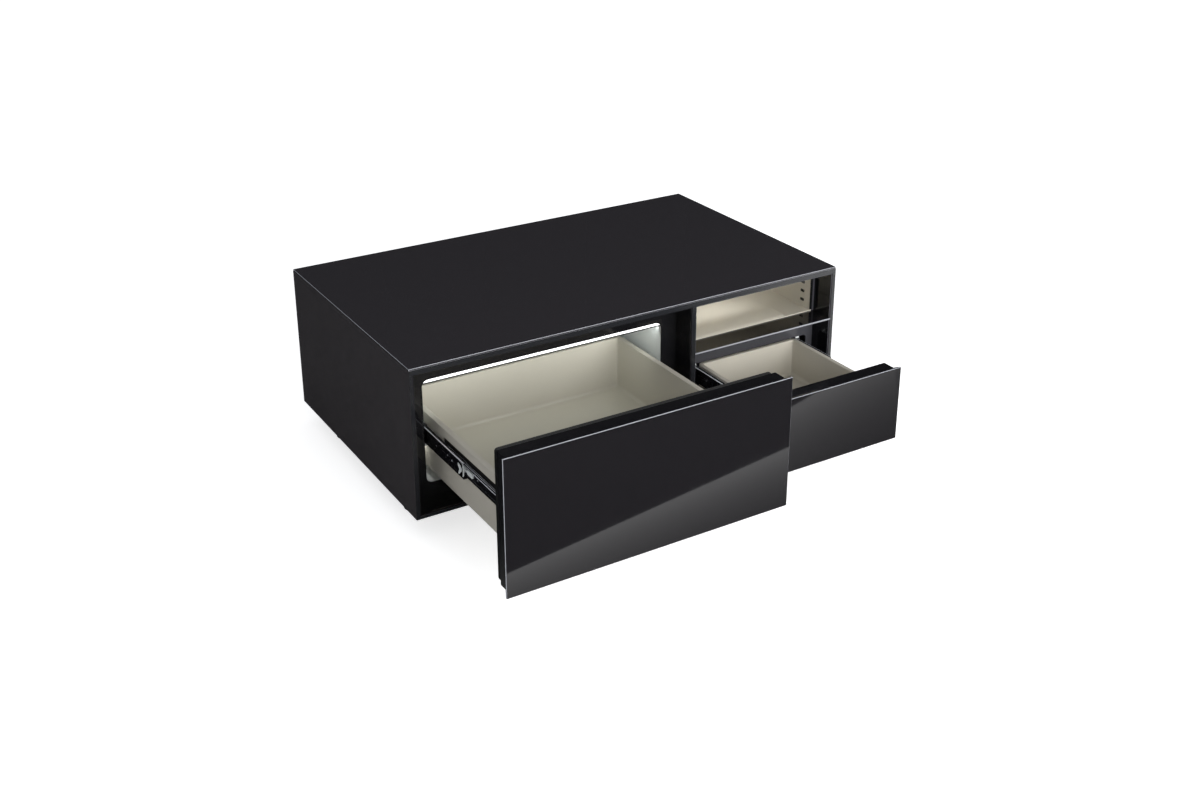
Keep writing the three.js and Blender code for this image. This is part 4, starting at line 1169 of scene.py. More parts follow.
@dataclass
class Cavity:
    """Vacuum-formed refrigerator liner with a thin front edge, and the light bar under its ceiling.

    Args:
        wall: Thickness of the liner.
        corner: Outer corner radius.
        fillet: Radius between its walls and its back.
        rim: Thickness left at its front edge.
        bevel: Depth over which the wall thins towards that edge.
        bead: Thickness of the trim, and its reach past the liner's outside.
        lens: Height of the light bar's lens.
        lens_corner: Radius of the lens's upper corners.
        rail: Height of the black strip under the lens, which paints the shadow gap there.
    """

    wall: float = 2.5 * MM
    corner: float = 15.7 * MM
    fillet: float = 9.0 * MM
    rim: float = 0.9 * MM
    bevel: float = 2.2 * MM
    bead: float = 0.3 * MM
    lens: float = 5.8 * MM
    lens_corner: float = 5.5 * MM
    rail: float = 1.9 * MM

    def build(self) -> None:
        """Builds liner, its trim and the light bar."""
        self.liner()
        self.trim()
        self.light_bar()

    def trim(self) -> None:
        """A thin black bead over the joint of liner and surround and over the liner's cut edge."""
        tray = Span.of("fridge_liner")
        seat, face, ease = tray.ys[0] - 0.05 * MM, tray.ys[0] - self.bead, 0.1 * MM
        profile = [(self.bead, seat), (self.bead, face + ease), (self.bead - 2 * ease, face),
                   (2 * ease - self.wall, face), (-self.wall, face + ease), (-self.wall, seat)]
        ring = rounded_stack((tray.half[0], tray.half[2]), self.corner, profile, Closure.RING, 12)
        x, _, z = tray.centre
        place("liner_edge_trim", ring.lying(Lie.FRONT).moved(x=x, z=z), GLOSS, "cabinet",
              "gloss_black_plastic")

    def liner(self) -> None:
        """A deep tray: a profile from the outer back round the front edge to the inner back."""
        tray = Span.of("fridge_liner")
        front, back = tray.ys
        inner_back, r, ease = back - self.wall, self.fillet, 0.3 * MM
        profile = [
            (-r, back), *quarter((-r, back - r), r, 90, 0, 7), (0.0, front + ease),
            (-ease, front), (-self.rim, front), (-self.wall, front + self.bevel),
            *quarter((-self.wall - r, inner_back - r), r, 0, 90, 7)]
        shell = rounded_stack((tray.half[0], tray.half[2]), self.corner, profile, per_corner=12)
        x, _, z = tray.centre
        place("refrigerator_liner", shell.lying(Lie.FRONT).moved(x=x, z=z), LINER, "cabinet",
              "liner_plastic", ("fridge_liner",))

    def light_bar(self) -> None:
        """A long lens whose upper corners follow the liner, over a black strip that paints the
        shade below it.
        """
        bar = Span.of("light_bar")
        (left, right), (front, back), high = bar.xs, bar.ys, bar.zs[1]
        bottom, small, large = high - self.lens, 1.0 * MM, self.lens_corner
        outline = softened([(left, bottom), (right, bottom), (right, high), (left, high)],
                           [small, small, large, large], 8)
        lens = prism(outline, (front + 0.6 * MM, back - 0.4 * MM), 0.8 * MM).lying(Lie.FRONT)
        place("light_bar_lens", lens, OPAL, "cabinet", "light_diffuser", ("light_bar",))
        # Painted shade: a black strip under the lens stands for the shadow gap below it.
        under = bottom - 0.1 * MM
        strip = block((left, right), (front, back), (under - self.rail, under), 0.3 * MM)
        place("light_bar_shade_strip", strip, MATT, "cabinet", "matte_black_plastic")


@dataclass
class Niche:
    """Open niche with its charging pad and the sockets in its right wall.

    Args:
        rim: Width of the frame round a socket.
        socket: Width and height of a socket.
        pitch: Distance between sockets.
        drop: From the liner's ceiling to the first socket.
        setback: From the liner's front edge to the sockets.
        count: Count of sockets.
        wall: Thickness of the liner.
        socket_corner: Corner radius of a socket.
        pad_corner: Corner radius of the charging pad.
        pad_gap: Gap round the charging pad.
    """

    rim: float = 1.5 * MM
    socket: Pair = (10.5 * MM, 4.6 * MM)
    pitch: float = 20.5 * MM
    drop: float = 37.0 * MM
    setback: float = 26.0 * MM
    count: int = 3
    wall: float = 4.0 * MM
    socket_corner: float = 1.4 * MM
    pad_corner: float = 6.0 * MM
    pad_gap: float = 0.6 * MM

    def build(self) -> None:
        """Dresses the liner, builds pad and sockets."""
        dress(CREAM, "niche_liner")
        self.cover_strip()
        self.pad()
        self.sockets()

    def cover_strip(self) -> None:
        """A flat black bead beside the socket wall, over the joint where its wires run."""
        liner = Span.of("niche_liner")
        front, side = liner.ys[0], liner.xs[1]
        strip = block((side - 4.5 * MM, side + 2.2 * MM), (front - 0.45 * MM, front - 0.05 * MM),
                      (liner.zs[0] + 3.0 * MM, liner.zs[1] - 0.5 * MM), 0.15 * MM)
        place("niche_cover_strip", strip, GLOSS, "cabinet", "gloss_black_plastic")

    def pad(self) -> None:
        """A thin plate with rounded corners and edges; the gap round it is the seam that shows."""
        pad = Span.of("charging_pad")
        low, high = pad.zs
        gap, edge = self.pad_gap, 1.0 * MM
        profile = [(-gap - 0.2 * MM, low), (-gap, low + 0.2 * MM),
                   *quarter((-edge - gap, high - edge), edge, 0, 90, 4)]
        shell = rounded_stack((pad.half[0], pad.half[1]), self.pad_corner, profile)
        shell = shell.moved(x=pad.centre[0], y=pad.centre[1])
        place("niche_charging_pad", shell, CREAM, "cabinet", "cream_plastic", ("charging_pad",))

    def sockets(self) -> None:
        """Module behind the wall with a hollow nozzle and a contact tongue in each slot."""
        module, liner = Span.of("charging_socket_module"), Span.of("niche_liner")
        half_y, half_z = self.socket[0] / 2, self.socket[1] / 2
        face = liner.xs[1] - self.wall
        y = liner.ys[0] + self.setback
        first = liner.zs[1] - self.wall - self.drop
        spots = [(0.0, y, first - step * self.pitch) for step in range(self.count)]
        back = liner.xs[1] + 0.3 * MM
        gap, proud, edge = 0.25 * MM, face - 0.8 * MM, self.rim * 0.6
        ring = [(-gap, back), (-gap, face + 0.2 * MM), (edge, face - 0.05 * MM),
                (edge, face - 0.5 * MM), (self.rim * 0.4, proud), (-self.rim / 2, proud),
                (-self.rim / 2, back)]
        nozzle = rounded_stack((half_y, half_z), self.socket_corner, ring, Closure.RING, 4)
        tongue = rounded_stack((half_y - 2.4 * MM, 0.6 * MM), 0.3 * MM,
                               [(0, face + 1.2 * MM), (0, back)], per_corner=2)
        plate = block((back, module.xs[1]), module.ys, module.zs, 0.8 * MM)
        nozzles = nozzle.lying(Lie.SIDE).repeated(spots).plus(plate)
        place("charging_socket_nozzles", nozzles, MATT, "cabinet", "matte_black_plastic",
              ("charging_socket_module",))
        place("charging_socket_contacts", tongue.lying(Lie.SIDE).repeated(spots), BRIGHT, "cabinet",
              "zinc_steel")


# ----------------------------------------
# Drawers and slides
# ----------------------------------------


@dataclass
class BallSlide:
    """Three-member ball slide of rolled steel: the members nest from the wall to the bin.

    Args:
        drawer: Prefix of its nodes and bodies.
        side: left or right.
        lever: Whether it has a release lever with its hook and bumper.
        sheet: Thickness of the steel.
        balls: Balls in a row of a cage.
        windows: Windows in a cage.
        rivet: Radius and height of a rivet's head.
    """

    drawer: str
    side: str
    lever: bool
    sheet: float = 1.3 * MM
    balls: int = 9
    windows: int = 3
    rivet: Pair = (2.9 * MM, 1.1 * MM)

    def __post_init__(self) -> None:
        """Reads wall, middle height and lengths from the CAD nodes."""
        self.outer = Span.of(f"{self.drawer}_slide_outer_{self.side}")
        self.middle = Span.of(f"{self.drawer}_slide_middle_{self.side}")
        self.inner = Span.of(f"{self.drawer}_slide_inner_{self.side}")
        self.way = 1.0 if self.side == "left" else -1.0
        self.wall = self.outer.xs[0] if self.side == "left" else self.outer.xs[1]
        self.height = self.outer.centre[2]

    def carried(self, outline: np.ndarray, ends: Pair, edge: float = 0.15 * MM) -> Shell:
        """Carries a section (distance from the wall, height over the middle) along Y.

        Args:
            outline: Section in millimetres.
            ends: Where it starts and ends in Y.
            edge: Size of the broken edge at its ends.

        Returns:
            The member.
        """
        placed = outline * MM * np.array([self.way, 1.0]) + np.array([self.wall, self.height])
        return prism(placed, ends, edge).lying(Lie.FRONT)

    def across(self, outline: np.ndarray, depths: Pair, at: Pair) -> Shell:
        """Makes a flat part or a cutter in the slide's plane.

        Args:
            outline: Points (Y, Z) in millimetres.
            depths: Its range in distance from the wall, in millimetres.
            at: Y and Z that the outline is placed at, in metres.

        Returns:
            The part.
        """
        points = outline * MM + np.array([at[0], at[1]])
        ends = sorted(self.wall + self.way * depth * MM for depth in depths)
        return prism(points, (ends[0], ends[1]), 0.12 * MM).lying(Lie.SIDE)

    def name(self, part: str) -> str:
        """Name of a piece of this slide."""
        return f"{self.drawer}_slide_{part}_{self.side}"

    def build(self) -> None:
        """Builds members, cages and, where it has one, the lever."""
        self.outer_member()
        self.middle_member()
        self.inner_member()
        self.cushion()
        self.cage("outer", 1.7, (17.0, 19.3), f"{self.drawer}_outer_cages")
        self.cage("inner", 6.1, (13.3, 15.0), f"{self.drawer}_inner_cages")
        if self.lever:
            self.release()

    def outer_member(self) -> None:
        """Cabinet member: a channel with rolled corners and lips that turn in over the balls."""
        t = self.sheet / MM
        top, lip, near, far = 21, 18.4, 8.4, 9.4
        section = softened([
            (0, -top), (far, -top), (far, -lip), (near, -lip), (near, -top + t), (t, -top + t),
            (t, top - t), (near, top - t), (near, lip), (far, lip), (far, top), (0, top)],
            [2.6, 1.6, 0.4, 0.4, 1.0, 1.4, 1.4, 1.0, 0.4, 0.4, 1.6, 2.6], 5)
        low, high = self.outer.ys
        spots = [(low + 18 * MM, 2.6), (low + 50 * MM, 2.6), (high - 30 * MM, 2.6)]
        place(self.name("cabinet_member"), self.carried(section, (low, high)), SLIDE, "cabinet",
              "black_slide_steel", (f"{self.drawer}_slide_outer_{self.side}",),
              self.round_holes(spots, (-1, 3)))

    def cushion(self) -> None:
        """Pale pad over or under the cabinet member's front end that softens the stop; partly a
        painted highlight.
        """
        pad = softened([(-3, 17.3), (-0.05, 17.3), (-0.05, 21.05), (7, 21.05), (7, 22.3),
                        (-3, 22.3)], [0.8, 0.1, 0.1, 0.4, 0.8, 1.2], 4)
        # Partly a painted highlight: the pad goes where a glint shows, under on slides with a
        # lever, over on the others.
        if self.lever:
            pad = (pad * np.array([1.0, -1.0]))[::-1]
        clip = self.across(pad, (0.6, 9.2), (self.outer.ys[0], self.height))
        place(self.name("cushion"), clip, ACETAL, "cabinet", "pale_plastic")

    def round_holes(self, spots: Sequence[Pair], depths: Pair) -> Shell:
        """Cutters for round holes in a web.

        Args:
            spots: Y in metres and radius in millimetres of each.
            depths: Range of depth that they cut, in millimetres from the wall.

        Returns:
            One shell of all of them.
        """
        cuts = [self.across(circle(20) * radius, depths, (y, self.height)) for y, radius in spots]
        return cuts[0].plus(*cuts[1:])

    def middle_member(self) -> None:
        """Middle member: two ball tracks back to back on one web, notched in front for a lever."""
        t = self.sheet / MM
        outer, inner, near, web, far = 16.7, 15.3, 2.8, 4.4, 10.6
        section = softened([
            (near, -outer), (far, -outer), (far, -inner), (web + t, -inner), (web + t, inner),
            (far, inner), (far, outer), (4.7, outer), (near, outer - 0.8), (near, inner),
            (web, inner), (web, -inner), (near, -inner)],
            [0.6, 1.3, 0.5, 1.2, 1.2, 0.5, 0.6, 0.4, 0.25, 0.25, 0.8, 0.8, 0.5], 4)
        low, high = self.middle.ys
        body = f"{self.drawer}_slide_middles"
        slot = softened([(-6, -13.4), (24, -13.4), (24, 13.4), (-6, 13.4)], [0.1, 7, 7, 0.1], 6)
        notch = self.across(slot, (1, 12), (low, self.height))
        spots = [(low + 50.5 * MM, 3.4), (low + 118 * MM, 2.4), (high - 36 * MM, 3.4)]
        place(self.name("middle_member"), self.carried(section, (low, high)), SLIDE, body,
              "black_slide_steel", (f"{self.drawer}_slide_middle_{self.side}",),
              notch.plus(self.round_holes(spots, (3, 7))))
        radius, rise = self.rivet
        rivet = lathe([(0.4 * MM, 0), (radius, 0), *quarter((radius - rise, 0), rise, 0, 90, 5),
                       (0.4 * MM, rise)], 20).lying(Lie.SIDE)
        rivet = rivet if self.way < 0 else rivet.mirrored(0.0)
        face = self.wall + self.way * web * MM
        rivets = [(face, low + 69.5 * MM, self.height), (face, high - 14 * MM, self.height)]
        place(self.name("rivets"), rivet.repeated(rivets), BRIGHT, body, "zinc_steel")

    def inner_member(self) -> None:
        """Drawer member: a narrow channel screwed to the bin, with a pressed rib along its web."""
        t = self.sheet / MM
        top, rib, root, near, web = 13, 3.4, 4.4, 7.9, 12.4
        section = softened([
            (web, -top), (near, -top), (near, -top + t), (web - t, -top + t), (web - t, -root),
            (10.4, -rib), (10.4, rib), (web - t, root), (web - t, top - t), (near, top - t),
            (near, top), (web, top), (web, root), (11.6, rib), (11.6, -rib), (web, -root)],
            [1.6, 0.5, 0.5, 1.0, 0.5, 0.5, 0.5, 0.5, 1.0, 0.5, 0.5, 1.6, 0.5, 0.5, 0.5, 0.5], 4)
        low, high = self.inner.ys
        spots = [(low + 35 * MM, 2.4), (low + 72 * MM, 2.0), (low + 146 * MM, 2.4),
                 (high - 60 * MM, 2.4)]
        place(self.name("drawer_member"), self.carried(section, (low, high)), SLIDE,
              f"{self.drawer}_drawer", "black_slide_steel",
              (f"{self.drawer}_slide_inner_{self.side}",), self.round_holes(spots, (9, 13)))

    def cage(self, which: str, start: float, rows: Pair, body: str) -> None:
        """Ball cage: a thin channel with a row of balls above and below the smaller member.

        Args:
            which: outer or inner.
            start: Distance of its web from the wall, in millimetres.
            rows: Lower and upper half height of the ball rows, in millimetres.
            body: Body that it rides on.
        """
        node = f"{self.drawer}_{which}_cage_{self.side}"
        span = Span.of(node)
        small, large = rows
        web, lip = start + 0.7, start + 4.0
        section = softened([
            (start, -large), (lip, -large), (lip, -large + 0.5), (web, -large + 0.6),
            (web, large - 0.6), (lip, large - 0.5), (lip, large), (start, large)], 0.3, 3)
        high = small * 0.45
        window = softened([(-9, -high), (9, -high), (9, high), (-9, high)], 3.0, 4)
        middles = np.linspace(span.ys[0] + 16 * MM, span.ys[1] - 16 * MM, self.windows)
        cuts = [self.across(window, (start - 1, start + 2), (y, self.height)) for y in middles]
        place(self.name(f"{which}_cage"), self.carried(section, span.ys, 0.1 * MM), ZINC, body,
              "zinc_steel", (node,), cuts[0].plus(*cuts[1:]))
        radius = (large - small) / 2 * MM
        turns = np.radians(np.linspace(-80, 80, 7))
        ball = lathe(np.stack([radius * np.cos(turns), radius * np.sin(turns)], axis=-1), 10)
        x = self.wall + self.way * (start + 2.4) * MM
        level = (large + small) / 2 * MM
        row = np.linspace(span.ys[0] + 5 * MM, span.ys[1] - 5 * MM, self.balls)
        spots = [(x, y, self.height + sign * level) for y in row for sign in (-1, 1)]
        place(self.name(f"{which}_balls"), ball.repeated(spots), BRIGHT, body, "zinc_steel")

    def release(self) -> None:
        """Lever with a rounded tongue, the hook that it frees and the bumper on the front end."""
        node = f"{self.drawer}_release_lever_{self.side}"
        lever = Span.of(node)
        middle = lever.centre[1]
        low, high = (lever.ys[0] - middle) / MM, (lever.ys[1] - middle) / MM
        outline = softened([
            (low, -5), (low + 21, -5), (low + 24, -2), (high - 10, -2), (high - 7, -6), (high, -6),
            (high, 6), (high - 7, 6), (high - 10, 2), (low + 24, 2), (low + 21, 5), (low, 5)],
            [4.8, 2.5, 2, 2, 1.5, 2, 2, 1.5, 2, 2, 2.5, 4.8], 5)
        near = abs(self.wall - lever.xs[0 if self.way > 0 else 1]) / MM
        depths = (near, near + (lever.xs[1] - lever.xs[0]) / MM)
        place(self.name("release_lever"), self.across(outline, depths, (middle, self.height)),
              ACETAL, f"{self.drawer}_lever_{self.side}", "pale_plastic", (node,))
        hook = softened([(23.5, 8.5), (16, 6.5), (8.5, 1.5), (8.5, -4.5), (13, -7.5), (19, -14),
                         (22.5, -13.5), (18.5, -5.5), (17.5, -2), (22.5, 2)], 1.5, 4)
        bumper = softened([(4, 13), (0.2, 9), (-1, 0), (0.2, -9), (3.4, -13), (5, -13), (3.4, -8),
                           (3, 0), (3.4, 8), (5.4, 13)], 2.0, 4)
        at = (self.middle.ys[0], self.height)
        shapes = [self.across(shape, (2.9, 4.2), at) for shape in (hook, bumper)]
        place(self.name("hook_and_bumper"), shapes[0].plus(shapes[1]), ACETAL,
              f"{self.drawer}_slide_middles", "pale_plastic")


@dataclass
class Bin:
    """Moulded drawer bin with a rounded rim, drafted walls and a filleted floor.

    Args:
        drawer: Prefix of its node and body.
        wall: Thickness of its walls.
        floor: Thickness of its floor.
        corner: Outer corner radius in plan.
        draft: How much each inner wall leans in over its height.
        rim: Radius of its rim.
        foot: Radius under its floor.
        fillet: Radius between its walls and its floor inside.
    """

    drawer: str
    wall: float
    floor: float
    corner: float
    draft: float = 1.2 * MM
    rim: float = 1.6 * MM
    foot: float = 3.0 * MM
    fillet: float = 7.0 * MM

    def build(self, cutter: Shell | None = None) -> None:
        """Builds the bin; the profile runs from under its floor over the rim to the floor inside.

        Args:
            cutter: Closed shell taken away from its walls.
        """
        tray = Span.of(f"{self.drawer}_bin")
        low, high = tray.zs
        foot, rim, w, fillet = self.foot, self.rim, self.wall, self.fillet
        inside = (-w - self.draft - fillet, low + self.floor + fillet)
        profile = [*quarter((-foot, low + foot), foot, -90, 0, 5),
                   *quarter((-rim, high - rim), rim, 0, 90, 5),
                   *quarter((-w + rim, high - rim), rim, 90, 180, 5),
                   *quarter(inside, fillet, 0, -90, 6)]
        shell = rounded_stack((tray.half[0], tray.half[1]), self.corner, profile, per_corner=10)
        shell = shell.moved(x=tray.centre[0], y=tray.centre[1])
        place(f"{self.drawer}_moulded_bin", shell, CREAM, f"{self.drawer}_drawer", "cream_plastic",
              (f"{self.drawer}_bin",), cutter)


@dataclass
class FridgeDrawer:
    """Refrigerator drawer: grooved bin, gasket, and the slides with release levers.

    Args:
        groove_rise: From the middle of the slides to the groove's lower edge.
        groove_height: Height of the groove.
        groove_depth: Its depth.
        groove_length: Its length.
        groove_start: From the bin's front to the groove.
    """

    groove_rise: float = 8.0 * MM
    groove_height: float = 15.0 * MM
    groove_depth: float = 4.0 * MM
    groove_length: float = 269.4 * MM
    groove_start: float = 24.0 * MM

    def groove(self, side: int, depths: Pair, inset: float) -> Shell:
        """A long slot shape in a side wall of the bin.

        Args:
            side: 0 for the left wall, 1 for the right.
            depths: Range of depth from the wall's outer face.
            inset: How much the slot's outline is drawn in.

        Returns:
            The slot as a solid.
        """
        tray, slide = Span.of("fridge_bin"), Span.of("fridge_slide_outer_left")
        half = (self.groove_length / 2 - inset, self.groove_height / 2 - inset)
        middle_y = tray.ys[0] + self.groove_start + self.groove_length / 2
        middle_z = slide.centre[2] + self.groove_rise + self.groove_height / 2
        shell = rounded_stack(half, half[1] - 0.3 * MM, [(0.0, depths[0]), (0.0, depths[1])])
        shell = shell.lying(Lie.SIDE).moved(y=middle_y, z=middle_z)
        return shell.mirrored(0.0).moved(x=tray.xs[1]) if side else shell.moved(x=tray.xs[0])

    def build(self) -> None:
        """Builds bin, black strips in its grooves, gasket and slides."""
        deep = self.groove_depth
        cuts = [self.groove(side, (-2 * MM, deep), 0.0) for side in (0, 1)]
        Bin("fridge", wall=12 * MM, floor=4 * MM, corner=17 * MM).build(cuts[0].plus(cuts[1]))
        # A black strip lies in each groove, darker than the bin.
        black_strips = [self.groove(side, (deep - 1.6 * MM, deep - 0.1 * MM), 0.3 * MM)
                   for side in (0, 1)]
        place("fridge_bin_groove_black_strips", black_strips[0].plus(black_strips[1]), MATT, "fridge_drawer",
              "matte_black_plastic")
        self.gasket()
        for side in ("left", "right"):
            BallSlide("fridge", side, True).build()

    def gasket(self) -> None:
        """Door seal: base, folded bellows and the magnet's pocket, one section round the door."""
        ring = Span.of("fridge_gasket")
        front, back = ring.ys
        deep = back - front
        section = softened([
            (-12, 0), (-1, 0), (0, 0.12), (0, 0.3), (-1.6, 0.4), (-1.6, 0.46), (0, 0.56), (0, 0.92),
            (-1.5, 1.0), (-10.5, 1.0), (-12, 0.92), (-12, 0.62), (-9.6, 0.52), (-9.6, 0.42),
            (-12, 0.32)],
            [0.3, 0.3, 0.1, 0.1, 0.1, 0.1, 0.1, 0.3, 0.5, 0.5, 0.3, 0.1, 0.1, 0.1, 0.1], 3)
        profile = section * np.array([MM, deep]) + np.array([0.0, front])
        half = (ring.half[0], ring.half[2])
        shell = rounded_stack(half, 6.0 * MM, profile[::-1], Closure.RING, 5)
        x, _, z = ring.centre
        place("fridge_door_gasket", shell.lying(Lie.FRONT).moved(x=x, z=z), RUBBER, "fridge_drawer",
              "black_rubber", ("fridge_gasket",), sharp=50.0)


@dataclass
class StorageDrawer:
    """Storage drawer: bin, slides on their brackets, and rubber bumpers behind its front.

    Args:
        bumper_inset: From the front's side and lower or upper edge to a bumper.
    """

    bumper_inset: Pair = (24.0 * MM, 14.0 * MM)

    def build(self) -> None:
        """Builds bin, slides and bumpers, and dresses the slides' brackets."""
        Bin("storage", wall=10 * MM, floor=4 * MM, corner=13 * MM).build()
        for side in ("left", "right"):
            BallSlide("storage", side, False).build()
        dress(SLIDE, "storage_slide_bracket_left", "storage_slide_bracket_right")
        core = Span.of("storage_door_core")
        bumper = lathe([(0.4 * MM, 0), (4.2 * MM, 0), (3.8 * MM, 1.4 * MM),
                        *quarter((2.2 * MM, 1.2 * MM), 1.2 * MM, 0, 90, 5),
                        (0.4 * MM, 2.4 * MM)], 20)
        aside, up = self.bumper_inset
        spots = [(x, core.ys[1] + 0.02 * MM, z) for x in (core.xs[0] + aside, core.xs[1] - aside)
                 for z in (core.zs[0] + up, core.zs[1] - up)]
        place("storage_door_bumpers", bumper.lying(Lie.FRONT).repeated(spots), RUBBER,
              "storage_drawer", "black_rubber")


# ----------------------------------------
# Machine compartment and feet
# ----------------------------------------


@dataclass
class Machine:
    """Compressor, condenser, fan, control box, pipes and inlet behind the storage bay.

    Args:
        pipe: Outer radius of the refrigerant pipes.
        fins: Fins of the condenser.
        blades: Blades of the fan.
        can: Radius of the compressor's shell.
        crown: Height of its domed top.
        mounts: Half of the distances between its grommets along X and Y.
        core: Width and height of the condenser's fins.
        bend: Radius of the condenser's return bends.
        hub: Radius of the fan's hub at its front.
        tip: Radius of the fan's blades.
        margin: From the liner's side and upper edge to the evaporator's.
        plate: Thickness of the evaporator's plate.
        socket: Half of the inlet's width and height.
    """

    pipe: float = 3.0 * MM
    fins: int = 60
    blades: int = 7
    can: float = 58.0 * MM
    crown: float = 30.0 * MM
    mounts: Pair = (77.0 * MM, 32.0 * MM)
    core: Pair = (44.0 * MM, 160.0 * MM)
    bend: float = 5.0 * MM
    hub: float = 17.0 * MM
    tip: float = 54.4 * MM
    margin: Pair = (47.5 * MM, 24.5 * MM)
    plate: float = 1.2 * MM
    socket: Pair = (13.5 * MM, 10.0 * MM)

    def build(self) -> None:
        """Builds every part of the compartment."""
        self.compressor()
        self.condenser()
        self.fan()
        self.evaporator()
        self.inlet()
        box = Span.of("control_box")
        case = block(box.xs, box.ys, box.zs, 3.0 * MM)
        place("control_box_case", case, MATT, "cabinet", "matte_black_plastic", ("control_box",))

    def compressor(self) -> None:
        """Welded shell of two drawn cups with a seam flange, on a foot plate and four grommets."""
        span = Span.of("compressor")
        x, y, _ = span.centre
        radius, upper, crown = self.can, self.can - 1.6 * MM, self.crown
        bottom = span.zs[0] + 12.0 * MM
        base, top = bottom + 3.0 * MM, span.zs[1]
        seam = base + (top - base) * 0.58
        angles = np.radians(np.linspace(0, 88, 12))
        dome = np.stack([upper * np.cos(angles), top - crown + crown * np.sin(angles)], axis=-1)
        profile = [(20 * MM, base), (radius - 12 * MM, base),
                   *quarter((radius - 14 * MM, base + 14 * MM), 14 * MM, -80, 0, 7),
                   (radius, seam - 3 * MM), (radius, seam), (radius - 0.2 * MM, seam + 1.4 * MM),
                   (upper, seam + 2.0 * MM), *dome.tolist()]
        shell = lathe(profile, 56).moved(x=x, y=y)
        aside, along = self.mounts
        foot = rounded_stack((aside + 9 * MM, 13 * MM), 6 * MM,
                             [(0, bottom), (0, base + 0.2 * MM)], per_corner=4)
        feet = foot.repeated([(x, y + side * along, 0) for side in (-1, 1)])
        place("compressor_shell", shell.plus(feet), ENAMEL, "cabinet", "black_painted_steel",
              ("compressor",))
        grommet = lathe(MM * np.array([(2, 0), (9, 0), (9, 4), (6, 5.4), (6, 7.4), (9, 8.8),
                                       (9, 11.6), (2, 11.6)]), 24)
        spots = [(x + a * aside, y + b * along, span.zs[0]) for a in (-1, 1) for b in (-1, 1)]
        place("compressor_grommets", grommet.repeated(spots), RUBBER, "cabinet", "black_rubber")

    def condenser(self) -> None:
        """Fins threaded on serpentine tubes with return bends, filter dryer and discharge line."""
        span, compressor = Span.of("condenser"), Span.of("compressor")
        x0, x1 = span.xs[1] - self.core[0], span.xs[1]
        y0, y1 = span.ys
        low, high = span.zs[0], span.zs[0] + self.core[1]
        fin = block((x0, x1), (0, 0.3 * MM), (low, high), 0.1 * MM)
        ys = np.linspace(y0 + 8 * MM, y1 - 8 * MM, self.fins)
        offsets = np.stack([np.zeros(self.fins), ys, np.zeros(self.fins)], axis=-1)
        plates = [block((x0, x1), (y, y + 1.2 * MM), (low, high), 0.3 * MM)
                  for y in (y0 + 6 * MM, y1 - 7.2 * MM)]
        place("condenser_fins", fin.repeated(offsets).plus(*plates), FINS, "cabinet", "aluminium",
              ("condenser",))
        x = (x0 + x1) / 2
        levels = np.linspace(low + 20 * MM, high - 20 * MM, 4)
        runs = serpentine((y0 + self.pipe, y1 - self.pipe), levels)
        coil = softened([(x, y, z) for y, z in runs], self.bend, 6, closed=False)
        dryer_y = y1 - 1.2 * MM - 8 * MM
        top = span.zs[1] - self.pipe
        cx, cy = compressor.centre[0] + 22 * MM, compressor.centre[1]
        line = softened([(x, dryer_y, high + 52 * MM), (x, dryer_y, top),
                         (x - 30 * MM, dryer_y, top), (cx + 30 * MM, cy, top),
                         (cx, cy, top - 16 * MM), (cx, cy, compressor.zs[1] - 3 * MM)],
                        12 * MM, 8, closed=False)
        riser = softened([(x, dryer_y, high - 12 * MM), (x, dryer_y, high + 8 * MM)], 1 * MM, 2,
                         closed=False)
        pipes = tube(coil, self.pipe).plus(tube(line, self.pipe), tube(riser, self.pipe))
        place("condenser_pipes", pipes, COPPER, "cabinet", "aluminium")
        dryer = lathe(MM * np.array([(3, 3), (7.6, 9), (8, 12), (8, 48), (7.4, 51), (3, 58)]), 24)
        place("filter_dryer", dryer.moved(x, dryer_y, high), COPPER, "cabinet", "aluminium")

    def fan(self) -> None:
        """Axial fan: blades on a hub, inside the carried-over frame.

        A blade is one thin section carried from root to tip. Its chord grows and its twist falls
        with the share of the way, and its points are wrapped round the axis: their angle is the
        swirl over the radius, plus a small sweep.
        """
        dress(MATT, "fan_frame")
        rotor = Span.of("fan_rotor")
        width, root = rotor.half[0], self.hub
        hub = lathe([(2.8 * MM, -width), (root, -width),
                     *quarter((root, -width + 2 * MM), 2 * MM, -90, 0, 5),
                     (root + 2 * MM, width), (2.8 * MM, width)], 40).lying(Lie.SIDE)
        radii = np.linspace(root, self.tip, 9)
        share = (radii - radii[0]) / (self.tip - radii[0])
        twist = np.radians(58 - 30 * share)[:, None]
        chord = ((15.0 + 9.0 * share) * MM)[:, None]
        section = softened([(-0.5, -0.02), (-0.2, 0.05), (0.25, 0.035), (0.5, 0.0),
                            (0.25, -0.01), (-0.2, 0.0)], 0.03, 3)
        u, v = section[None, :, 0] * chord, section[None, :, 1] * chord
        axial = u * np.cos(twist) - v * np.sin(twist)
        axial *= np.minimum(1.0, (width - 0.6 * MM) / np.abs(axial).max())
        swirl = u * np.sin(twist) + v * np.cos(twist)
        reach = radii[:, None]
        angle = swirl / reach + 0.12 * share[:, None]
        blade = loft(np.stack([axial, reach * np.cos(angle), reach * np.sin(angle)], axis=-1))
        blades = [blade.turned(0, 360.0 * step / self.blades) for step in range(self.blades)]
        middle = (rotor.centre[0], Span.of("fan_frame").centre[1], rotor.centre[2])
        place("fan_impeller", hub.plus(*blades).moved(*middle), MATT, "fan", "matte_black_plastic",
              ("fan_rotor",))

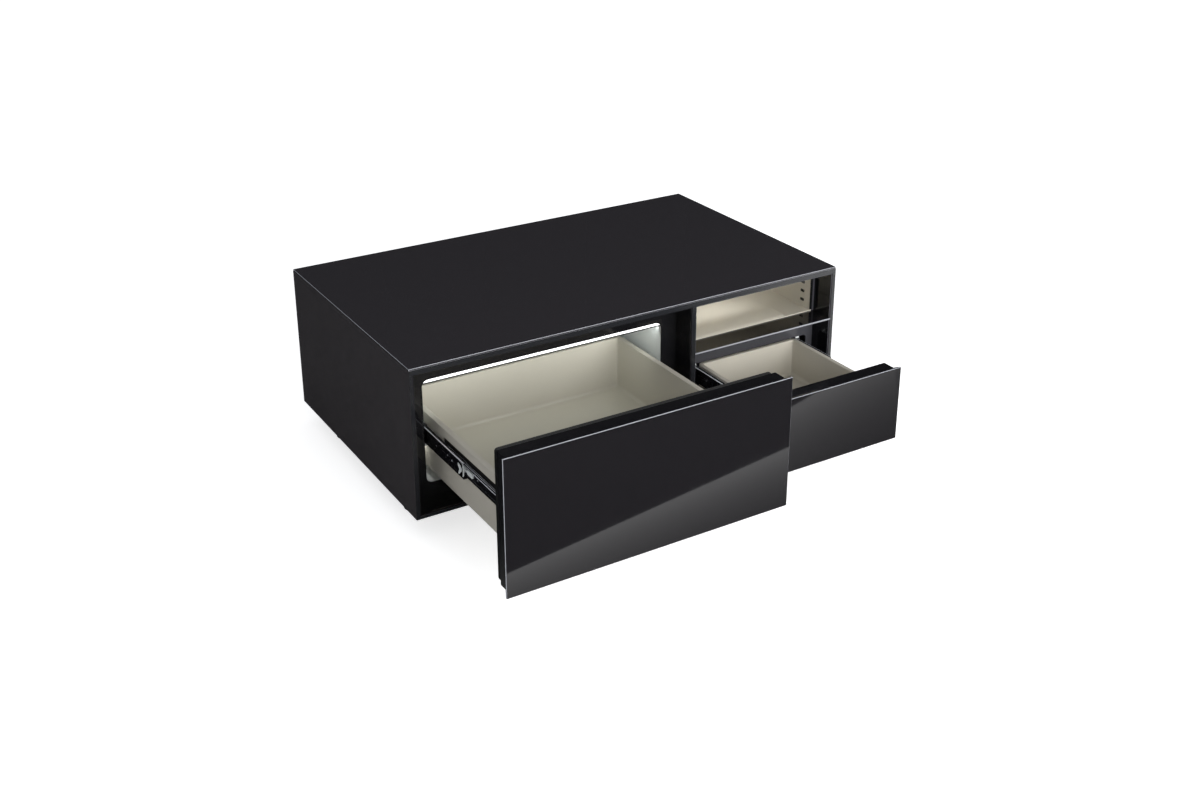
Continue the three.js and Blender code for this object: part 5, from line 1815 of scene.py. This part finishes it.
    def evaporator(self) -> None:
        """Roll-bond plate with its raised channel, and the suction pipe to the compressor."""
        liner, compressor = Span.of("fridge_liner"), Span.of("compressor")
        aside, up = self.margin
        xs = (liner.xs[0] + aside, liner.xs[1] - aside)
        zs = (liner.zs[0] + up, liner.zs[1] - up)
        front = liner.ys[1] + 0.3 * MM
        back = front + self.plate
        plate = block(xs, (front, back), zs, 0.2 * MM)
        rows = np.linspace(zs[0] + 16 * MM, zs[1] - 16 * MM, 6)
        runs = serpentine((xs[0] + 18 * MM, xs[1] - 18 * MM), rows)
        path = softened([(x, back, z) for x, z in runs], 10 * MM, 6, closed=False)
        channel = tube(path, 2.0 * MM, 10)
        channel.points[:, 1] = back + (channel.points[:, 1] - back) * 0.35
        place("evaporator_plate", plate.plus(channel), FINS, "cabinet", "aluminium",
              ("evaporator",))
        y, z = back + self.pipe + 0.5 * MM, zs[1] - 45 * MM
        cx, cy, _ = compressor.centre
        end = compressor.zs[1] - 3 * MM
        run = softened([(xs[1] - 60 * MM, y, z), (Span.of("centre_divider").xs[1] + 14 * MM, y, z),
                        (cx - 25 * MM, cy + 30 * MM, end + 33 * MM),
                        (cx - 22 * MM, cy, end + 28 * MM), (cx - 22 * MM, cy, end)],
                       14 * MM, 8, closed=False)
        place("suction_pipe", tube(run, self.pipe), COPPER, "cabinet", "aluminium")

    def inlet(self) -> None:
        """Appliance inlet: flanged shell with its hollow and three flat pins."""
        span = Span.of("power_inlet")
        x, _, z = span.centre
        front, back = span.ys
        wall, flange = 2.5 * MM, 4.0 * MM
        face = Span.of("back_panel").ys[1] + 0.3 * MM
        profile = [(-1.5 * MM, front), (0.0, front + 1.0 * MM), (0.0, face), (flange, face),
                   (flange, back - 0.5 * MM), (flange - 0.5 * MM, back), (-wall + 0.6 * MM, back),
                   (-wall, back - 0.6 * MM), (-wall, back - 15 * MM)]
        shell = rounded_stack(self.socket, 3.0 * MM, profile, per_corner=5).lying(Lie.FRONT)
        place("inlet_housing", shell.moved(x=x, z=z), MATT, "cabinet", "matte_black_plastic",
              ("power_inlet",))
        pin = block((-1.0 * MM, 1.0 * MM), (back - 15.5 * MM, back - 3.0 * MM),
                    (-2.0 * MM, 2.0 * MM), 0.5 * MM)
        spots = [(x + side * 6.5 * MM, 0, z + (-0.6 if side else 1.2) * MM) for side in (-1, 0, 1)]
        place("inlet_pins", pin.repeated(spots), BRIGHT, "cabinet", "zinc_steel")


@dataclass
class Foot:
    """Levelling foot: moulded pad with grip ribs on a threaded stud.

    Args:
        corner: Which foot, such as front_left.
        ribs: Grip ribs round the neck.
        shoulder: Height of the neck's top above the floor.
        stud: Mean radius of the threaded stud.
        pitch: Height of one turn of its thread.
    """

    corner: str
    ribs: int = 20
    shoulder: float = 44.0 * MM
    stud: float = 4.75 * MM
    pitch: float = 1.5 * MM

    def build(self) -> None:
        """Builds pad, ribbed neck and stud, whose radius rises and falls once in each pitch."""
        span = Span.of(f"foot_{self.corner}")
        x, y, _ = span.centre
        base, top = span.zs
        r, bead, shoulder = span.half[0], 2 * MM, self.shoulder
        pad = lathe([(bead, base + 0.6 * MM), (r - 5 * MM, base + 0.6 * MM), (r - 4 * MM, base),
                     (r - 2.4 * MM, base), *quarter((r - bead, base + bead), bead, -60, 0, 4),
                     *quarter((r - bead, base + 12 * MM), bead, 0, 80, 5),
                     (13 * MM, base + 15 * MM), (11 * MM, base + 17 * MM),
                     (10.4 * MM, base + 20 * MM), (10.4 * MM, shoulder - 1 * MM),
                     (9.6 * MM, shoulder), (bead, shoulder)], 48).moved(x, y)
        rib = block((9.8 * MM, 11.0 * MM), (-0.6 * MM, 0.6 * MM),
                    (base + 18.5 * MM, shoulder - 1.2 * MM), 0.4 * MM)
        ribs = [rib.turned(2, 360.0 * step / self.ribs).moved(x, y) for step in range(self.ribs)]
        name = f"levelling_foot_{self.corner}"
        place(f"foot_pad_{self.corner}", pad.plus(*ribs), RUBBER, name, "black_rubber",
              (f"foot_{self.corner}",))
        heights = np.linspace(shoulder - 1 * MM, top, 40)
        wave = np.abs((heights / self.pitch) % 1.0 - 0.5) * 2
        thread = self.stud + 0.4 * MM * (wave - 0.5)
        stud = lathe(np.stack([thread, heights], axis=-1), 24).moved(x, y)
        place(f"foot_stud_{self.corner}", stud, BRIGHT, name, "zinc_steel")


# ----------------------------------------
# Studio
# ----------------------------------------


@dataclass(frozen=True)
class LitCard:
    """White card on the floor that glows: a painted pool of light, falling off from one edge as
    power times e to the minus distance over fall.

    Args:
        name: Its name.
        along: Direction of the distance in X and Y.
        start: Distance at which it has its full power.
        power: Radiance there.
        fall: Distance over which it falls to a third; negative where it rises.
        sheet: Its corners.
    """

    name: str
    along: Pair
    start: float
    power: float
    fall: float
    sheet: tuple[Pair, ...]

    def material(self) -> bpy.types.Material:
        """Emission whose strength follows the formula.

        Returns:
            The material.
        """
        made = bpy.data.materials.new(self.name)
        tree = Tree(made)
        spot = tree.add("TexCoord").outputs["Object"]
        reach = tree.add("VectorMath", {0: spot, 1: (*self.along, 0.0)},
                         operation="DOT_PRODUCT").outputs["Value"]
        away = tree.add("Math", {0: reach, 1: self.start}, operation="SUBTRACT")
        ratio = tree.add("Math", {0: away, 1: -self.fall}, operation="DIVIDE")
        share = tree.add("Math", {0: math.e, 1: ratio}, operation="POWER")
        strength = tree.add("Math", {0: share, 1: self.power}, operation="MULTIPLY")
        tree.add("OutputMaterial", {"Surface": tree.add("Emission", {"Strength": strength})})
        return made


# Each lies where one part mirrors it to the camera: strip and paper for the refrigerator drawer's
# front and the fascias, sheet for the storage drawer's front, side for the right panel's edge.
LIT_CARDS = (
    LitCard("card_lit_strip", (1.0, 0.0), 0.6, 0.6, -0.3, (
        (0.6, -0.97), (1.4, -0.97), (1.4, -0.8), (0.6, -0.8))),
    LitCard("card_lit_paper", (0.158, 1.0), -0.677, 1.5, 0.095, (
        (-0.62, -0.579), (0.36, -0.734), (0.375, -0.655), (0.54, -0.704), (0.8, -0.782),
        (1.6, -0.95), (1.6, 0.6), (-0.62, 0.6))),
    LitCard("card_lit_sheet", (0.3, 1.0), -0.549, 1.4, 0.12, (
        (0.19, -0.44), (0.375, -0.655), (0.54, -0.704), (0.87, -0.802), (0.58, -0.44))),
    LitCard("card_lit_side", (0.0, 1.0), -0.7, 1.4, 2.0, (
        (0.5, -0.15), (0.6, -0.4), (0.89, -0.715), (1.6, -0.9), (1.6, -0.15))),
)


def turn_to(made: bpy.types.Object, axes: Sequence[np.ndarray], at: Triple) -> None:
    """Places a lamp or camera: the axes are the columns of its matrix, and its place is the last.

    Args:
        made: Lamp or camera.
        axes: Its right, up and backward directions.
        at: Where it stands.
    """
    matrix = np.eye(4)
    matrix[:3, :3] = np.stack(axes).T
    matrix[:3, 3] = at
    made.matrix_world = Matrix(matrix.tolist())


@dataclass(frozen=True)
class SoftBox:
    """Rectangular soft lamp that faces a target and that the camera doesn't see.

    Args:
        name: Its name.
        at: Where it hangs.
        target: What it faces.
        size: Width and height.
        power: Watts.
        mirrored: Whether gloss mirrors it.
    """

    name: str
    at: Triple
    target: Triple
    size: Pair
    power: float
    mirrored: bool = True

    def build(self) -> bpy.types.Object:
        """Adds the lamp; its axes are the way back from the target and two cross products of it.

        Returns:
            The lamp.
        """
        data = bpy.data.lights.new(self.name, "AREA")
        data.shape, data.energy = "RECTANGLE", self.power
        data.size, data.size_y = self.size
        made = bpy.data.objects.new(self.name, data)
        bpy.context.scene.collection.objects.link(made)
        back = np.array(self.at) - np.array(self.target)
        back /= np.linalg.norm(back)
        side = np.cross(np.array([0.0, 1.0, 0.0]), back)
        side /= np.linalg.norm(side)
        turn_to(made, (side, np.cross(back, side), back), self.at)
        made.visible_glossy, made.visible_camera = self.mirrored, False
        return made


SOFT_BOXES = (
    SoftBox("key", (2.3, -2.9, 3.1), (0.0, -0.1, 0.15), (2.2, 1.6), 21.0),
    SoftBox("overhead", (0.1, 0.1, 3.3), (0.0, 0.05, 0.0), (3.4, 2.6), 3.5),
    SoftBox("front", (0.3, -3.0, 0.85), (0.0, 0.0, 0.2), (2.4, 1.4), 112.0, mirrored=False),
)


@dataclass
class Studio:
    """Camera of the photograph, soft lamps, white ground and dark felt for the gloss to mirror.

    Args:
        lens: Focal length in millimetres.
        at: Where the camera stands.
        azimuth: Direction of the camera from the object, in degrees.
        elevation: Its height angle in degrees.
        roll: Its roll in degrees.
        shift: Its vertical shift.
        fill: Strength of the world for rays that only light the object.
        lift: Strength added to the floor where it is seen, so that it meets the background.
        floor_half: Half of the floor's side.
        felt_half: Half of the side of the felt on the floor.
        felt_radius: Radius of the ring of felt.
        felt_heights: Lower and upper edge of that ring.
        felt_sides: Faces of that ring.
        card_height: Height of the felt on the floor.
        card_step: Height between it and each card that lies on it.
    """

    lens: float = 43.0
    at: Triple = (-1.4264, -2.3291, 1.4578)
    azimuth: float = -121.25
    elevation: float = 21.41
    roll: float = -0.15
    shift: float = -0.1
    fill: float = 0.47
    lift: float = 0.7
    floor_half: float = 30.0
    felt_half: float = 4.0
    felt_radius: float = 3.6
    felt_heights: Pair = (0.004, 2.9)
    felt_sides: int = 48
    card_height: float = 0.001
    card_step: float = 0.0005

    def build(self) -> None:
        """Sets view transform, camera, world, floor, cards and lamps."""
        bpy.context.scene.view_settings.view_transform = "Standard"
        self.camera()
        self.world()
        self.floor()
        self.cards()
        for box in SOFT_BOXES:
            box.build()
        self.hidden_lamps()

    def hidden_lamps(self) -> None:
        """Small lamps inside the cabinet, which the gloss doesn't mirror."""
        bar, niche = Span.of("light_bar"), Span.of("niche_liner")
        rail = Span.of("fridge_slide_outer_left")
        under = (bar.centre[0], bar.ys[1] - 2.0 * MM, bar.zs[0] - 1.0 * MM)
        inside = (bar.centre[0], bar.ys[1] + 90.0 * MM, bar.zs[0] - 70.0 * MM)
        above = (niche.centre[0] - 35.0 * MM, niche.ys[0] + 30.0 * MM, niche.zs[1] - 6.0 * MM)
        below = (above[0], niche.ys[1], niche.zs[0] + 20.0 * MM)
        low = (rail.centre[0] + 1.0 * MM, rail.ys[0] + 75.0 * MM, rail.zs[0] - 6.0 * MM)
        down = (low[0], low[1], 0.0)
        wide = 2 * niche.half[0] - 150.0 * MM
        glow = SoftBox("light_bar_glow", under, inside, (2 * bar.half[0], 6.0 * MM), 0.15, False)
        wash = SoftBox("niche_wash", above, below, (wide, 20.0 * MM), 0.25, False)
        corner = SoftBox("liner_corner_wash", low, down, (7.0 * MM, 110.0 * MM), 0.024, False)
        glow.build().data.color = (0.93, 1.0, 0.97)
        wash.build().data.spread = math.radians(120.0)
        corner.build()

    def camera(self) -> None:
        """Camera whose axes come from azimuth, elevation and roll: forward, its right, and up."""
        a, e, r = (math.radians(v) for v in (self.azimuth, self.elevation, self.roll))
        ahead = -np.array([math.cos(e) * math.cos(a), math.cos(e) * math.sin(a), math.sin(e)])
        right = np.cross(ahead, np.array([0.0, 0.0, 1.0]))
        right /= np.linalg.norm(right)
        up = np.cross(right, ahead)
        data = bpy.data.cameras.new("camera")
        data.lens, data.sensor_width, data.shift_y = self.lens, 36.0, self.shift
        data.clip_start, data.clip_end = 0.05, 100.0
        made = bpy.data.objects.new("camera", data)
        bpy.context.scene.collection.objects.link(made)
        turn_to(made, (math.cos(r) * right + math.sin(r) * up,
                       math.cos(r) * up - math.sin(r) * right, -ahead), self.at)
        bpy.context.scene.camera = made

    def seen(self, tree: Tree) -> bpy.types.Node:
        """One for rays that show the background itself: camera, glossy and transmission rays.

        Args:
            tree: Nodes of the material or world.

        Returns:
            The last node.
        """
        path = tree.add("LightPath").outputs
        first = tree.add("Math", {0: path["Is Camera Ray"], 1: path["Is Glossy Ray"]},
                         operation="MAXIMUM")
        return tree.add("Math", {0: first, 1: path["Is Transmission Ray"]}, operation="MAXIMUM")

    def world(self) -> None:
        """White background for rays that see it, soft grey fill for the rest."""
        world = bpy.data.worlds.new("studio")
        bpy.context.scene.world = world
        tree = Tree(world)
        fill = tree.add("Background", {"Color": linear("#F4F6FA"), "Strength": self.fill})
        white = tree.add("Background", {"Color": (1.0, 1.0, 1.0, 1.0), "Strength": 1.0})
        both = tree.add("MixShader", {0: self.seen(tree), 1: fill, 2: white})
        tree.add("OutputWorld", {"Surface": both})

    def floor(self) -> None:
        """White paper: matt, with enough added where it is seen that it meets the background."""
        half = self.floor_half
        mesh = bpy.data.meshes.new("floor")
        mesh.from_pydata([(-half, -half, 0), (half, -half, 0), (half, half, 0), (-half, half, 0)],
                         [], [(0, 1, 2, 3)])
        floor = linked("floor", mesh)
        material = bpy.data.materials.new("paper_matt_white")
        tree = Tree(material)
        spot = tree.add("TexCoord").outputs["Object"]
        fibre = tree.add("TexNoise", {"Vector": spot, "Scale": per_metre(3.0), "Detail": 3.0})
        bump = tree.add("Bump", {"Height": fibre, "Strength": 0.05, "Distance": 0.05 * MM})
        paper = tree.add("BsdfDiffuse", {"Color": linear("#EDEDED"), "Normal": bump})
        power = tree.add("Math", {0: self.seen(tree), 1: self.lift}, operation="MULTIPLY")
        lift = tree.add("Emission", {"Color": (1.0, 1.0, 1.0, 1.0), "Strength": power})
        tree.add("OutputMaterial", {"Surface": tree.add("AddShader", {0: paper, 1: lift})})
        mesh.materials.append(material)

    def cards(self) -> None:
        """Cards that only mirrored rays see: felt round and under the set, lit ones on the felt."""
        first = np.arange(self.felt_sides)
        after, above = np.roll(first, -1), self.felt_sides
        faces = np.stack([first, after, after + above, first + above], axis=-1).tolist()
        ring = (self.felt_radius * circle(self.felt_sides)).tolist()
        points = [(*row, z) for z in self.felt_heights for row in ring]
        half = self.felt_half
        felt = ((-half, -half), (half, -half), (half, half), (-half, half))
        for layer, sheet in enumerate((felt, *(card.sheet for card in LIT_CARDS))):
            start, height = len(points), self.card_height + self.card_step * layer
            points += [(x, y, height) for x, y in sheet]
            faces.append(list(range(start, start + len(sheet))))
        mesh = bpy.data.meshes.new("cards")
        mesh.from_pydata(points, [], faces)
        cards = linked("cards", mesh)
        material = bpy.data.materials.new("felt_charcoal")
        tree = Tree(material)
        spot = tree.add("TexCoord").outputs["Object"]
        nap = tree.add("TexNoise", {"Vector": spot, "Scale": per_metre(8.0), "Detail": 3.0})
        tint = tree.add("Mix", {
            MIX_FACTOR: nap, MIX_A: linear("#2E2E30"), MIX_B: linear("#343436")}, data_type="RGBA")
        tree.add("OutputMaterial", {"Surface": tree.add("BsdfDiffuse", {"Color": tint})})
        mesh.materials.append(material)
        for slot, card in enumerate(LIT_CARDS, 1):
            mesh.materials.append(card.material())
            mesh.polygons[slot - len(LIT_CARDS) - 1].material_index = slot
        cards.visible_camera = cards.visible_diffuse = False
        cards.visible_shadow = cards.visible_transmission = False


def main() -> None:
    """Builds the studio and every sub-assembly."""
    logging.basicConfig(level=logging.INFO, format="%(message)s")
    parts = (Studio(), Cabinet(), Cavity(), Niche(), FridgeDrawer(), StorageDrawer(), Machine())
    for part in parts:
        part.build()
    for corner in ("front_left", "front_right", "rear_left", "rear_right"):
        Foot(corner).build()


if __name__ == "__main__":
    main()
